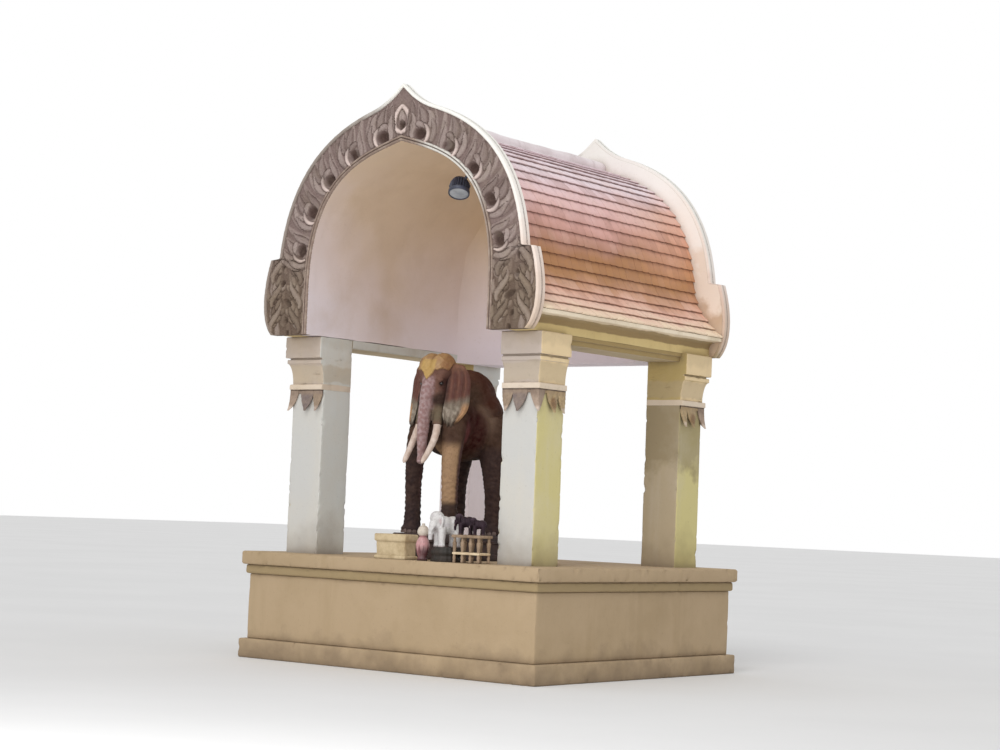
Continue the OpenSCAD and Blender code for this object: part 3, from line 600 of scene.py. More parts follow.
def tile_material():
    """Clay tiles: pale mauve near the ridge as a painted sky reflection, orange brown lower down, a dusty
    pink cream at the eave; joints and butt ends darkened as painted shade.
    """
    p = Paint("roof_clay", roughness=0.85)
    tone = p.layer("tone")
    y = p.axis("Y")
    slanted = p.sum("SUBTRACT", p.axis("Z"), p.sum("MULTIPLY", y, 0.03))
    height = p.sum("ADD", slanted, p.wander(3.0, 4, 0.05))
    low, high = SPRING + EAVE_RISE, CROWN + VAULT_T
    base = p.ramp(p.span(height, low, high), (0.02, (255, 232, 202)), (0.07, (248, 210, 188)),
                  (0.12, (242, 194, 172)), (0.17, (214, 163, 132)), (0.26, (189, 138, 94)),
                  (0.36, (187, 134, 92)), (0.43, (196, 145, 123)), (0.52, (227, 175, 163)),
                  (0.62, (245, 205, 202)), (0.72, (249, 221, 224)), (0.82, (252, 236, 242)),
                  (1.0, (248, 226, 234)))
    rear = p.span(y, 0.05, 0.60, 0.0, 0.55)
    orange = p.sum("MULTIPLY", p.zone(height, low + 0.36, low + 0.66, 0.12), rear)
    base = p.mix(orange, base, (230, 170, 128))
    base = p.mix(p.span(tone, 0.55, 1.0, 0.0, 0.34), base, (158, 112, 96))
    base = p.mix(p.span(tone, 0.0, 0.45, 0.30, 0.0), base, (242, 206, 190))
    base = p.blotches(base, (158, 124, 110), 0.40, 26.0, 0.52, 0.78, 6, 0.7)
    # Painted shade in the joints and corners.
    base = p.corners(base, (120, 86, 76), share=0.35, distance=0.02)
    # Painted shade: the tiles' butt ends darkened where the edge layer is high.
    base = p.mix(p.span(p.layer("edge"), 0.2, 0.8, 0.0, 0.72), base, (106, 70, 54))
    return p.finish(base, p.noise(150.0, 4, 0.6), distance=0.002, strength=0.4)


def plain_material(name, colour, other, roughness=0.7, size=20.0, coat=0.0):
    """Two close tints, corners darkened as painted shade, and a fine grain."""
    p = Paint(name, roughness)
    base = p.mix(p.span(p.noise(size, 5, 0.6), 0.4, 0.65), colour, other)
    # Painted shade in corners and hollows.
    base = p.corners(base, (60, 50, 44), share=0.6, distance=0.02)
    p.shader.inputs["Coat Weight"].default_value = coat
    return p.finish(base, p.noise(size * 6, 4), distance=0.0015, strength=0.35)


vault_plaster = vault_material()
white_paint = white_material()
roll_paint = roll_material()
carved_cement = carved_material()
roof_clay = tile_material()
pedestal_paint = plain_material("pedestal_paint", (70, 50, 46), (48, 36, 36))
tusk_paint = plain_material("tusk_paint", (218, 200, 188), (190, 166, 150))
stand_wood = plain_material("stand_wood", (160, 136, 112), (122, 100, 78))
trough_clay = plain_material("trough_clay", (204, 184, 148), (176, 154, 118))
lamp_black = plain_material("lamp_black", (62, 66, 84), (44, 48, 62), 0.45)


# Plinth

def plinth_piece(node, seed, edge_radius, chips):
    """One course of the plinth, with rounded, chipped edges."""
    low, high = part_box(node)
    rounding = [(edge_radius * (1 - math.sin(a)), edge_radius * (1 - math.cos(a)))
                for a in np.radians((90, 60, 30, 0))]
    rows = [(low.z + rise, inset) for rise, inset in rounding]
    rows += [(high.z - rise, inset) for rise, inset in rounding[::-1]]
    shape = Shape()
    levels = inset_levels(low, high, rows, radius=0.010, step=0.022)
    block(shape, levels, step=0.013, wear=0.0022, seed=seed, chips=chips)
    make_piece("plaster_" + node, shape, plinth_plaster, [node], sharp=50)


plinth_piece("plinth_base", 11, 0.008, 0.006)
plinth_piece("plinth_body", 12, 0.006, 0.003)
plinth_piece("plinth_band", 13, 0.010, 0.005)
plinth_piece("floor_slab", 14, 0.010, 0.008)


# Piers and capitals

CORNERS = [("front_left", -1, -1), ("front_right", 1, -1), ("rear_left", -1, 1), ("rear_right", 1, 1)]
LIP_H = 0.028
HOLLOW_H = 0.110
FILLET_H = 0.020
GROOVE_H = 0.010


def capital_outline(total, out):
    """How far a capital stands out at each height over its foot, up to its full height and reach."""
    lip, neck, hollow = out * 0.45, out * 0.1, out * 0.78
    middle = neck + hollow / 2
    z1 = LIP_H + HOLLOW_H
    z2 = z1 + FILLET_H
    z3 = z2 + GROOVE_H
    rows = [(0.000, lip - 0.003), (0.003, lip), (LIP_H - 0.003, lip), (LIP_H, lip - 0.003),
            (LIP_H + 0.001, neck)]
    for a in np.radians(np.linspace(8, 90, 9)):
        rows.append((LIP_H + HOLLOW_H * math.sin(a), neck + (hollow - neck) * (1 - math.cos(a))))
    rows += [(z1 + 0.002, hollow), (z2 - 0.002, hollow), (z2, hollow - 0.002), (z2 + 0.001, middle),
             (z3 - 0.001, middle), (z3, out - 0.003), (z3 + 0.004, out), (total - 0.004, out),
             (total, out - 0.004)]
    return rows


def corner_box(sx, sy, out):
    """A pier's plan, grown on its two outer faces."""
    xs = sorted([sx * HALF, sx * (OUTER_X + out)])
    ys = sorted([sy * (OUTER_Y - PIER_W), sy * (OUTER_Y + out)])
    return (*xs, *ys)


def pier_piece(name, sx, sy, seed):
    low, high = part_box("pier_" + name)
    levels = even_levels([(z, *corner_box(sx, sy, 0), 0.007, 0.0) for z in (low.z, high.z)], step=0.012)
    shape = Shape()
    block(shape, levels, step=0.014, wear=0.0020, seed=seed, chips=0.006)
    # Each pier takes the copy of the plaster painted with its own light and shade.
    plaster = pier_plaster if sy < 0 else rear_left_plaster if sx < 0 else rear_pier_plaster
    make_piece("plaster_pier_" + name, shape, plaster, ["pier_" + name], sharp=50)


def capital_piece(name, sx, sy, seed):
    low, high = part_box("capital_" + name)
    outline = capital_outline(high.z - low.z, CAPITAL_OUT)
    levels = [(low.z + z, *corner_box(sx, sy, out), 0.006, 1.0) for z, out in outline]
    shape = Shape()
    block(shape, even_levels(levels, step=0.012), step=0.014, wear=0.0012, seed=seed, chips=0.004)
    # The rear capitals take a copy painted with their own shade.
    plaster = capital_plaster if sy < 0 else rear_capital_plaster
    make_piece("plaster_capital_" + name, shape, plaster, ["capital_" + name], sharp=35)


for index, (name, sx, sy) in enumerate(CORNERS):
    pier_piece(name, sx, sy, 20 + index)
    capital_piece(name, sx, sy, 30 + index)


# Vault, rear wall and beams

def vault_piece(name, sx, seed):
    inner = resampled(np.vstack([arch_line(0), [[HALF, SPRING]]]), 90)
    outer = resampled(np.vstack([arch_line(VAULT_T), [[HALF + VAULT_T, SPRING]]]), 40)
    profile = np.vstack([inner, outer[::-1]]) * [sx, 1]
    shape = Shape()
    run_along_y(shape, profile, ROOF_Y - VAULT_Y, ROOF_Y + VAULT_Y, step=0.03, wear=0.004, seed=seed)
    make_piece("plaster_" + name, shape, vault_plaster, [name], sharp=45)


def rear_wall_piece():
    """The wall that closes the vault, with a hollow where its front face turns into the vault."""
    hollow_r, tuck = 0.24, 0.005
    curve = arch_line(0)[::-1]
    rows = np.concatenate([np.linspace(BEAM_FOOT, HAUNCH, 20)[:-1], resampled(curve, 70)[:, 1]])
    half = np.where(rows < HAUNCH, HALF, np.interp(rows, curve[:, 1], curve[:, 0])) + tuck
    x = half[:, None] * np.sin(np.linspace(-math.pi / 2, math.pi / 2, 101))[None]
    z = np.repeat(rows[:, None], x.shape[1], axis=1)
    near = np.minimum(half[:, None] - np.abs(x), (CROWN - z) * 0.8)
    swell = hollow_r - np.sqrt(hollow_r**2 - (hollow_r - np.minimum(near, hollow_r)) ** 2)
    y = WALL_FRONT - swell + 0.002 * np.tanh(ripple(np.dstack([x, z]), 0.25, 5))
    front = np.dstack([x, y, z])
    back = np.dstack([x, np.full_like(x, OUTER_Y), z])
    shape = Shape()
    shape.grid(np.concatenate([front, back[:, ::-1]], axis=1))
    make_piece("plaster_rear_wall", shape, vault_plaster, ["rear_wall"], sharp=50, weld=0.0004)


def beam_piece(name, sx, seed):
    low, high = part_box(name)
    back, strip = 0.010, 0.025
    x0, x1 = HALF, OUTER_X
    profile = np.array([[x0, high.z], [x0, low.z + 0.006], [x0 + 0.006, low.z], [x1 - back - 0.003, low.z],
                        [x1 - back, low.z + 0.003], [x1 - back, low.z + strip],
                        [x1 - 0.002, low.z + strip], [x1, low.z + strip + 0.002], [x1, high.z]])
    shape = Shape()
    run_along_y(shape, profile * [sx, 1], low.y, high.y, step=0.02, wear=0.001, seed=seed)
    make_piece("plaster_" + name, shape, beam_plaster, [name], sharp=40)


vault_piece("vault_left", -1, 41)
vault_piece("vault_right", 1, 42)
rear_wall_piece()
beam_piece("beam_left", -1, 43)
beam_piece("beam_right", 1, 44)


# Roof

BED = resampled(bed_line(), 500)
BED_S = lengths(BED)
COURSE = BED_S[-1] / TILE_COURSES


def on_bed(s, height):
    """Points at running length s down the roof and that height over the tiles' bed."""
    s = np.clip(s, 0, BED_S[-1])
    d = np.gradient(BED, BED_S, axis=0)
    n = np.stack([-d[:, 1], d[:, 0]], axis=1)
    n /= np.linalg.norm(n, axis=1)[:, None]
    x = np.interp(s, BED_S, BED[:, 0]) + height * np.interp(s, BED_S, n[:, 0])
    z = np.interp(s, BED_S, BED[:, 1]) + height * np.interp(s, BED_S, n[:, 1])
    return x, z


def roof_body(name, sx):
    """The solid under the tiles, and the eave with its lip, hollow and plain face; the lip is painted pale
    as a highlight, the hollow dark as shade.
    """
    end = BED_S[-1]
    s = np.linspace(0.02, end, 120)
    bedding = 0.004 + 0.0092 * smoothstep(s, end - 0.6 * COURSE, end - 0.4 * COURSE)
    top = np.stack(on_bed(s, bedding), axis=1)
    ex, ez = BED[-1]
    lip = 0.010
    hollow = cubic([[ex - 0.004, ez - lip], [OUTER_X + 0.006, ez - lip],
                    [OUTER_X, SPRING + FASCIA_H + 0.022], [OUTER_X, SPRING + FASCIA_H]],
                   np.linspace(0, 1, 12))
    under = resampled(np.vstack([arch_line(VAULT_T)[2:], [[HALF + VAULT_T, SPRING]]]), 40)
    edge = [[ex + 0.0085, ez + 0.006], [ex + 0.0080, ez - lip + 0.003], [ex + 0.005, ez - lip]]
    profile = np.vstack([top, edge, hollow[1:], [[OUTER_X, SPRING]], under[::-1]])
    kinds = np.zeros(len(profile), int)
    kinds[:len(top) - 6] = 1
    shape = Shape()
    run_along_y(shape, profile * [sx, 1], ROOF_Y - VAULT_Y, ROOF_Y + VAULT_Y, step=0.03, wear=0.0015,
                seed=51, slots=kinds)
    make_piece("eave_" + name, shape, [eave_plaster, roof_clay], ["roof_" + name], sharp=40,
               # The bed under the tiles takes much of the butt ends' painted shade.
               layers={"tone": np.full(shape.count, 0.3), "edge": np.full(shape.count, 0.7)})


def tiles(name, sx, seed):
    """Courses of small clay tiles, each lapping the one below."""
    across, gap, narrowest = 27, 0.001, 0.012
    rng = np.random.default_rng(seed)
    width = 2 * VAULT_Y / across
    share = np.linspace(0, 1, 5)
    e = np.array([-0.12, 0.5, 0.93, 1.0, 1.0, 0.93, 0.3])
    drop = np.array([0.0, 0.0, 0.0005, 0.003, 0.011, 0.0125, 0.0125])
    # Shares of painted shade along each tile, highest at its butt end.
    edge = np.array([0.0, 0.0, 0.0, 0.35, 1.0, 1.0, 1.0])
    shape, tones, edges = Shape(), [], []
    for k in range(TILE_COURSES):
        row_tone = rng.uniform()
        for j in range(-1, across + 1):
            middle = -VAULT_Y + (j + 0.5 + k % 2 * 0.5) * width
            y0 = max(-VAULT_Y, middle - (width - gap) / 2)
            y1 = min(VAULT_Y, middle + (width - gap) / 2)
            if y1 - y0 < narrowest:
                continue
            lift = rng.uniform(-0.0012, 0)
            slip = rng.uniform(-0.0022, 0.0)
            skew = rng.uniform(-0.0012, 0.0012)
            y = y0 + (y1 - y0) * share
            local = (y - middle) / (width / 2)
            wave = 0.0014 * ripple(np.column_stack([y, np.full(len(y), k * 0.31)]), 0.5, seed + 5)
            tail = -0.002 * local**2 + slip + skew * local - np.abs(wave)
            s = (k + e)[None] * COURSE + tail[:, None] * smoothstep(e, 0.3, 1.0)[None]
            crown = 0.0010 * (1 - local**2)
            rise = np.clip(e, 0, 1) * TILE_STEP - drop
            height = TILE_BED - 0.0010 + rise[None] + lift + crown[:, None]
            x, z = on_bed(np.maximum(s, 0.0), np.maximum(height, 0.001))
            place = np.repeat(ROOF_Y + y[:, None], len(e), axis=1)
            p = np.stack([sx * np.maximum(x, 0.001), place, z], axis=-1)
            shape.grid(p)
            tones += [0.55 * row_tone + 0.45 * rng.uniform()] * x.size
            edges += np.tile(edge * (0.1 if k == TILE_COURSES - 1 else 1.0), len(y)).tolist()
    make_piece("tiles_" + name, shape, roof_clay, ["roof_" + name], sharp=50,
               layers={"tone": tones, "edge": edges})


def ridge_piece():
    low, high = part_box("ridge_cap")
    a = np.linspace(0, math.pi, 25)
    flat = np.sign(np.cos(a)) * np.abs(np.cos(a)) ** 0.8
    rise = (high.z - low.z - 0.014) * np.sin(a) ** 0.75
    crest = np.stack([high.x * flat, low.z + 0.012 + rise], axis=1)
    profile = np.vstack([crest, [[-high.x, low.z + 0.002], [high.x, low.z + 0.002]]])
    shape = Shape()
    run_along_y(shape, profile, low.y, high.y, step=0.02, wear=0.006, seed=61)
    make_piece("ridge_mortar", shape, ridge_plaster, ["ridge_cap"], sharp=50)


for name, sx in (("left", -1), ("right", 1)):
    roof_body(name, sx)
    tiles(name, sx, 52 + sx)
ridge_piece()


# Gables

def crossing(a, n, line):
    """From each point a along n, the distance to the first crossing with the line."""
    p = line[:-1][None]
    e = np.diff(line, axis=0)[None]
    g = p - a[:, None]
    n = n[:, None]
    turn = n[..., 0] * e[..., 1] - n[..., 1] * e[..., 0]
    turn = np.where(np.abs(turn) < 1e-12, 1e-12, turn)
    dist = (g[..., 0] * e[..., 1] - g[..., 1] * e[..., 0]) / turn
    share = (g[..., 0] * n[..., 1] - g[..., 1] * n[..., 0]) / turn
    good = (share > -1e-4) & (share < 1 + 1e-4) & (dist > 1e-5)
    return np.where(good, dist, np.inf).min(axis=1)


def stations(step):
    """Places along a gable's inner edge, crown to springing, with the way across the band and its width."""
    fine = np.linspace(1, 0, 800)
    s = lengths(cubic(ARCH, fine))
    t = np.interp(np.arange(0, s[-1], step), s, fine)
    first = cubic_normal(ARCH, [1.0])[0]
    fan = np.linspace(math.pi / 2, math.atan2(first[1], first[0]), 16)[:-1]
    legs = np.append(np.arange(HAUNCH, SPRING, -step), SPRING)
    a = np.vstack([np.tile([0, CROWN], (len(fan), 1)), cubic(ARCH, t),
                   np.column_stack([np.full(len(legs), HALF), legs])])
    n = np.vstack([np.column_stack([np.cos(fan), np.sin(fan)]), cubic_normal(ARCH, t),
                   np.tile([1, 0], (len(legs), 1))])
    band = GABLE_W - RIM_W
    w = crossing(a, n, np.vstack([band_side(band), foot_line(band)]))
    bad = ~np.isfinite(w)
    w[bad] = np.interp(np.flatnonzero(bad), np.flatnonzero(~bad), w[~bad])
    return a, n, w


GROUND = -0.003
FIRST_GROUP = 0.146
GROUP_PITCH = 0.2175
POCKET_W = (0.060, 0.054, 0.054, 0.062, 0.072)


class Relief:
    """Heights over a gable's face, on a grid of (running length, distance from the inner edge)."""

    def __init__(self, s, w):
        self.s, self.w = s, w
        self.height = np.full(s.shape, GROUND)
        self.pale = np.zeros(s.shape)
        self.shade = np.full(s.shape, 0.4)
        self.rng = np.random.default_rng(7)

    def stroke(self, points, width, top, pale=0.0, rib=0.0, root=0.25, tip=1.0, moat=1.18, fade=0.0):
        """A raised leaf along a curve of four points, laid over what is there, with a cut round it.

        fade is the share of its pale paint that is lost toward its tip.
        """
        t = np.linspace(0, 1, 28)
        path = cubic(points, t)
        half = width * np.maximum(np.sin(math.pi * (root + (tip - root) * t)) ** 0.7, 0.08)
        lo, hi = path.min(axis=0) - width * 1.6, path.max(axis=0) + width * 1.6
        inside = (self.s > lo[0]) & (self.s < hi[0]) & (self.w > lo[1]) & (self.w < hi[1])
        if not inside.any():
            return
        q = np.column_stack([self.s[inside], self.w[inside]])
        gap = np.linalg.norm(q[:, None] - path[None], axis=2)
        ratio = (gap / half[None]).min(axis=1)
        pale = pale * (1 - fade * t[(gap / half[None]).argmin(axis=1)])
        lift = GROUND + (top - GROUND) * np.clip(1 - ratio**2, 0, 1) ** 0.75
        lift -= rib * np.exp(-((ratio / 0.20) ** 2))
        cut = (ratio >= 1) & (ratio < moat)
        height = np.where(ratio < 1, np.maximum(self.height[inside], lift), self.height[inside])
        self.height[inside] = np.where(cut, np.minimum(height, GROUND - 0.0006), height)
        tone = self.rng.uniform(0.15, 0.95)
        # Each leaf gets a random tone, darkened toward its edge as painted shade.
        self.shade[inside] = np.where(ratio < 1, tone - 0.35 * np.clip(ratio, 0, 1) ** 3, self.shade[inside])
        share = np.where(ratio < 1, pale * np.clip(1.8 * (1 - ratio), 0, 1), self.pale[inside])
        self.pale[inside] = np.where(cut, 0, share)

    def pocket(self, centre, radii, depth, turn=0.0):
        """A hollow with soft sides."""
        ds, dw = self.s - centre[0], self.w - centre[1]
        a = (ds * math.cos(turn) + dw * math.sin(turn)) / radii[0]
        b = (dw * math.cos(turn) - ds * math.sin(turn)) / radii[1]
        q = np.hypot(a, b)
        inside = q < 1
        floor = GROUND - depth * (1 - np.clip(q, 0, 1) ** 2.5)
        self.height = np.where(inside, np.minimum(self.height, floor), self.height)
        self.pale = np.where(inside, self.pale * smoothstep(q, 0.75, 1.0), self.pale)


def flame_group(r, s0, cw, high, rng):
    """A curl round a hollow painted dark as shade, under tall leaves that lean toward the crown."""
    def at(*pairs):
        return [(s0 + e * (1 + rng.uniform(-0.06, 0.06)), min(f * (1 + rng.uniform(-0.05, 0.05)), high))
                for e, f in pairs]

    def ring(radius, *angles):
        return [(s0 + radius * math.cos(a), cw + radius * math.sin(a)) for a in np.radians(angles)]

    for k in range(4):
        e = 0.084 - 0.054 * k
        r.stroke(at((e, 0.040), (e + 0.012, 0.095), (e - 0.004, 0.150), (e - 0.030, high)),
                 0.0230, 0.0035, 0.0, 0.0030, 0.2, 0.92)
    for pairs, style in (
            (((-0.052, 0.036), (-0.07, 0.075), (-0.05, 0.110), (-0.088, 0.158)), (0.020, 0.0065, 0, 0.003)),
            (((0, 0.095), (0.010, 0.125), (-0.010, 0.165), (-0.052, 0.192)), (0.0250, 0.0070, 0.15, 0.0035)),
            (((0.044, 0.105), (0.062, 0.135), (0.044, 0.17), (0.004, 0.194)), (0.021, 0.0078, 0.05, 0.0035)),
            (((0.082, 0.045), (0.092, 0.085), (0.078, 0.125), (0.050, 0.160)), (0.0180, 0.0068, 0, 0.0030))):
        r.stroke(at(*pairs), *style)
    first, last = ring(0.054, -36, 84)
    r.stroke([first, *ring(0.066, -4, 40), last], 0.0150, 0.0085, 1.0, 0.0, 0.14, 0.95, 1.2, fade=0.75)
    r.stroke(at((-0.036, cw + 0.048), (-0.020, cw + 0.056), (0.002, cw + 0.046), (0.020, cw + 0.022)),
             0.0170, 0.0075, 0.20, 0.002)
    r.pocket((s0 - 0.004, cw), (0.043, 0.033), 0.022, 0.25)


def lotus(r, low):
    """Half of the lotus bud at the crown, with its pale edge and a hollow heart painted dark as shade."""
    for x in (0.112, 0.080):
        r.stroke([(x, low + 0.010), (x + 0.010, low + 0.070), (x - 0.006, low + 0.130),
                  (x - 0.040, low + 0.190)], 0.0165, 0.0040, 0.0, 0.003)
    r.stroke([(0, low + rise) for rise in (0.072, 0.100, 0.125, 0.150)], 0.026, 0.0055, 0.25)
    r.stroke([(0.004, low + 0.010), (0.092, low + 0.030), (0.050, low + 0.092), (0.001, low + 0.148)],
             0.0175, 0.0085, 0.85, 0.0, 0.28, 0.84, 1.15)
    r.pocket((0.0, low + 0.048), (0.028, 0.028), 0.020)


def acanthus(r, points, width, top, side):
    """A leaf with a bent midrib and lobes that curl off it, the larger ones to one side."""
    points = np.array(points)
    t = np.array([0.14, 0.42, 0.68])
    at = cubic(points, t)
    way = cubic(points, t + 0.02) - at
    way /= np.linalg.norm(way, axis=1)[:, None]
    across = np.stack([-way[:, 1], way[:, 0]], axis=1)
    for k in range(len(t)):
        for way_out in (side, -side):
            reach = width * (1.75 if way_out == side else 1.15) * (1 - 0.35 * t[k])
            q, d, n = at[k], way[k], way_out * across[k]
            lobe = [q, q + 0.35 * reach * d + 0.55 * reach * n, q + 0.85 * reach * d + 0.85 * reach * n,
                    q + 1.30 * reach * d + 0.60 * reach * n]
            r.stroke(lobe, width * 0.56, top - 0.0012, 0.0, 0.0012, 0.18)
    r.stroke(points, width * 0.56, top, 0.10, 0.0, 0.16)


def foot_leaves(r, s_top, s_end, low, wide):
    """Scrolling leaves on the foot, that rise from its two sides in turn, over a ground of small ones."""
    def at(*pairs):
        return [(s_end - u * (s_end - s_top), low + v * (wide - low)) for u, v in pairs]

    for k in range(18):
        u, v = (k % 6) * 0.18 - 0.06, (k // 6) * 0.34 + 0.10 + (k % 2) * 0.10
        lean = 0.16 if k % 2 else -0.14
        r.stroke(at((u, v), (u + 0.08, v + lean), (u + 0.16, v - lean * 0.3), (u + 0.26, v + lean * 0.6)),
                 0.021, 0.0015, 0.0, 0.001, 0.1)
    for u in (0.70, 0.37, 0.04):
        left = at((u + 0.02, 0.90), (u + 0.16, 1.02), (u + 0.24, 0.58), (u + 0.42, 0.64))
        right = at((u, 0.10), (u + 0.14, 0.00), (u + 0.22, 0.48), (u + 0.40, 0.34))
        for leaf, side in ((left, -1), (right, 1)):
            acanthus(r, leaf, 0.034, 0.0078, side)
    for place, radii, turn in (((0.44, 0.44), (0.017, 0.036), 0.55), ((0.70, 0.60), (0.020, 0.014), 0.3),
                               ((0.20, 0.48), (0.020, 0.012), -0.4), ((0.92, 0.62), (0.024, 0.010), 0.2),
                               ((0.02, 0.42), (0.018, 0.012), 0.1)):
        r.pocket(at(place)[0], radii, 0.013, turn)


def gable_piece(name, sx, sy, step, seed):
    a, n, w = stations(step)
    rows = int(w.min() / (step * 0.95))
    across = np.linspace(0, 1, rows)[None] * w[:, None]
    q = a[:, None] + across[..., None] * n[:, None]
    middle = a + 0.5 * np.minimum(w, GABLE_W)[:, None] * n
    s = np.repeat(lengths(middle)[:, None], rows, axis=1)
    r = Relief(s, across)
    rng = np.random.default_rng(seed)
    low, high = 2 * ROLL_W + 0.002, GABLE_W - RIM_W - 0.002
    s_foot = s[np.argmin(np.abs(a[:, 1] - (FOOT_TOP - 0.03))), 0]
    lotus(r, low)
    foot_leaves(r, s_foot, s[-1, 0], low, float(w[a[:, 1] < SPRING + 0.5 * FOOT_H].mean()))
    for k, pocket_w in enumerate(POCKET_W):
        flame_group(r, FIRST_GROUP + GROUP_PITCH * k, pocket_w, high, rng)
    r.height += 0.0008 * ripple(np.dstack([s, across]), 0.012, seed)
    r.height = np.minimum(r.height, RIM_Y - GABLE_Y - 0.0012)

    def wall(edge, y):
        """The face's inner (0) or outer (-1) edge, set back to y."""
        return np.column_stack([q[:, edge, 0], np.full(len(a), y), q[:, edge, 1]])[:, None]

    run = GABLE_Y - 0.004 - VAULT_Y
    parts = [np.dstack([q[..., 0], GABLE_Y + r.height, q[..., 1]])]
    parts += [wall(-1, y) for y in (GABLE_Y - 0.02, VAULT_Y)]
    parts += [wall(0, VAULT_Y + f * run) for f in (0, 0.33, 0.66, 1)]
    loop = np.concatenate(parts, axis=1)
    loop[..., 0] *= sx
    loop[..., 1] = ROOF_Y + sy * loop[..., 1]
    kinds = np.zeros(loop.shape[1], int)
    kinds[rows:rows + 2] = 2
    kinds[rows + 2:rows + 6] = 1
    shape = Shape()
    shape.grid(loop, kinds)
    layers = {}
    for key, rest, values in (("relief", 0.5, (r.height + 0.018) / 0.027), ("pale", 0.0, r.pale),
                              ("shade", 0.4, r.shade)):
        layer = np.full(loop.shape[:2], rest)
        layer[:, :rows] = values
        layers[key] = layer.ravel()
    nodes = [name, "front_carving" if sy < 0 else "rear_carving"]
    make_piece("carved_" + name, shape, [carved_cement, vault_plaster, gable_back], nodes,
               sharp=60, layers=layers)


def outline_strip(name, sy, inner, outer, section, material, node, seed, wear):
    """A moulding between two lines, mirrored over the tip. section is points of (share across, depth)."""
    inner, outer = (np.vstack([line[:0:-1] * [-1, 1], line]) for line in (inner, outer))
    p = np.empty((len(inner), len(section), 3))
    for k, (share, depth) in enumerate(section):
        q = inner * (1 - share) + outer * share
        p[:, k, 0], p[:, k, 1], p[:, k, 2] = q[:, 0], depth, q[:, 1]
    bumps = wear * np.tanh(ripple(p, 0.05, seed))
    p[..., 1] -= np.where(p[..., 1] > VAULT_Y + 0.03, np.abs(bumps), 0)
    p[..., 1] = ROOF_Y + sy * p[..., 1]
    shape = Shape()
    shape.grid(p)
    make_piece("painted_" + name, shape, material, [node], sharp=45)


def rim_piece(name, sy, seed):
    def line(d):
        return np.vstack([resampled(band_side(d), 150), resampled(foot_line(d), 60)])

    top, front = RIM_Y - GABLE_Y, GABLE_Y
    section = [(0.0, VAULT_Y + 0.002), (0.0, front + top * 0.35)]
    section += [(k, front + top * (0.45 + 0.55 * math.sin(math.pi * k))) for k in np.linspace(0.08, 0.92, 7)]
    section += [(1.0, front + top * 0.30), (1.0, front - 0.03), (1.0, VAULT_Y + 0.03), (1.0, VAULT_Y)]
    outline_strip(name, sy, line(GABLE_W - RIM_W), line(GABLE_W), section, white_paint, name, seed, 0.0015)


def rolls_piece(name, sy, seed):
    def line(d):
        leg = np.array([[HALF + d, HAUNCH - 0.004], [HALF + d, SPRING]])
        return np.vstack([resampled(arch_line(d), 160), resampled(leg, 26)])

    for k, top in enumerate((RIM_Y - GABLE_Y, 0.009)):
        round_top = [(0.5 - 0.46 * math.cos(a), GABLE_Y - 0.004 + (top + 0.003) * math.sin(a))
                     for a in np.radians(np.linspace(5, 175, 8))]
        section = [(0.02, GABLE_Y - 0.006), *round_top, (0.98, GABLE_Y - 0.006)]
        outline_strip(f"{name}_{k + 1}", sy, line(k * ROLL_W), line((k + 1) * ROLL_W), section, roll_paint,
                      name, seed + k, 0.0012)


for end, sy in (("front", -1), ("rear", 1)):
    for index, (side, sx) in enumerate((("left", -1), ("right", 1))):
        gable_piece(f"{end}_gable_{side}", sx, sy, 0.0027 if sy < 0 else 0.0034, 70 + index)
    rim_piece(f"{end}_rim", sy, 75)
    rolls_piece(f"{end}_rolls", sy, 77)


# Statue

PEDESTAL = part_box("pedestal")
STATUE_BACK = 0.324
STATUE_H = 0.943
STATUE = Vector((0, PEDESTAL[0].y + STATUE_BACK, PEDESTAL[1].z))
STATUE_SCALE = (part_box("elephant_cap")[1].z - STATUE.z) / STATUE_H
# Painted shade: all the statue's paints are darkened by this factor, as in the shade of the vault.
STATUE_SHADE_TONE = 0.74


class Clay:
    """Balls and limbs pressed together, then remeshed and smoothed into one skin, all of it times scale."""

    def __init__(self, scale=1.0):
        self.bm = bmesh.new()
        self.scale = scale

    def ball(self, *numbers):
        """A ball from its centre and its three radii."""
        size = [number * self.scale for number in numbers]
        made = bmesh.ops.create_uvsphere(self.bm, u_segments=28, v_segments=18, radius=1)
        for v in made["verts"]:
            v.co = Vector(v.co[k] * size[k + 3] + size[k] for k in range(3))

    def limb(self, path, radii, rings=40, ripples=0.0, waves=0):
        """A round limb along a smooth path. ripples folds its skin."""
        around = 24
        path, radii = np.array(path, float) * self.scale, np.array(radii) * self.scale
        s = lengths(path) / lengths(path)[-1]
        t = np.linspace(0, 1, rings)
        r = soft_line(s, radii, t) * (1 + ripples * np.sin(2 * math.pi * waves * t))
        rows = [[self.bm.verts.new(q) for q in row] for row in tube(smooth_path(path, t), r, around)]
        for u in range(rings - 1):
            for v in range(around):
                w = (v + 1) % around
                self.bm.faces.new((rows[u][v], rows[u + 1][v], rows[u + 1][w], rows[u][w]))
        self.bm.faces.new(rows[0])
        self.bm.faces.new(rows[-1][::-1])

    def skin(self, voxel, smooth):
        """Points, directions and faces of the joined, smoothed skin."""
        mesh = bpy.data.meshes.new("clay")
        bmesh.ops.recalc_face_normals(self.bm, faces=self.bm.faces)
        self.bm.to_mesh(mesh)
        self.bm.free()
        ob = bpy.data.objects.new("clay", mesh)
        bpy.context.scene.collection.objects.link(ob)
        remesh = ob.modifiers.new("remesh", "REMESH")
        remesh.mode = "VOXEL"
        remesh.voxel_size = voxel * self.scale
        soften = ob.modifiers.new("smooth", "SMOOTH")
        soften.iterations = smooth
        soften.factor = 0.5
        out = ob.evaluated_get(bpy.context.evaluated_depsgraph_get()).to_mesh()
        found = []
        for key in ("co", "normal"):
            values = np.empty(len(out.vertices) * 3)
            out.vertices.foreach_get(key, values)
            found.append(values.reshape(-1, 3))
        faces = [tuple(f.vertices) for f in out.polygons]
        bpy.data.objects.remove(ob)
        return (*found, faces)


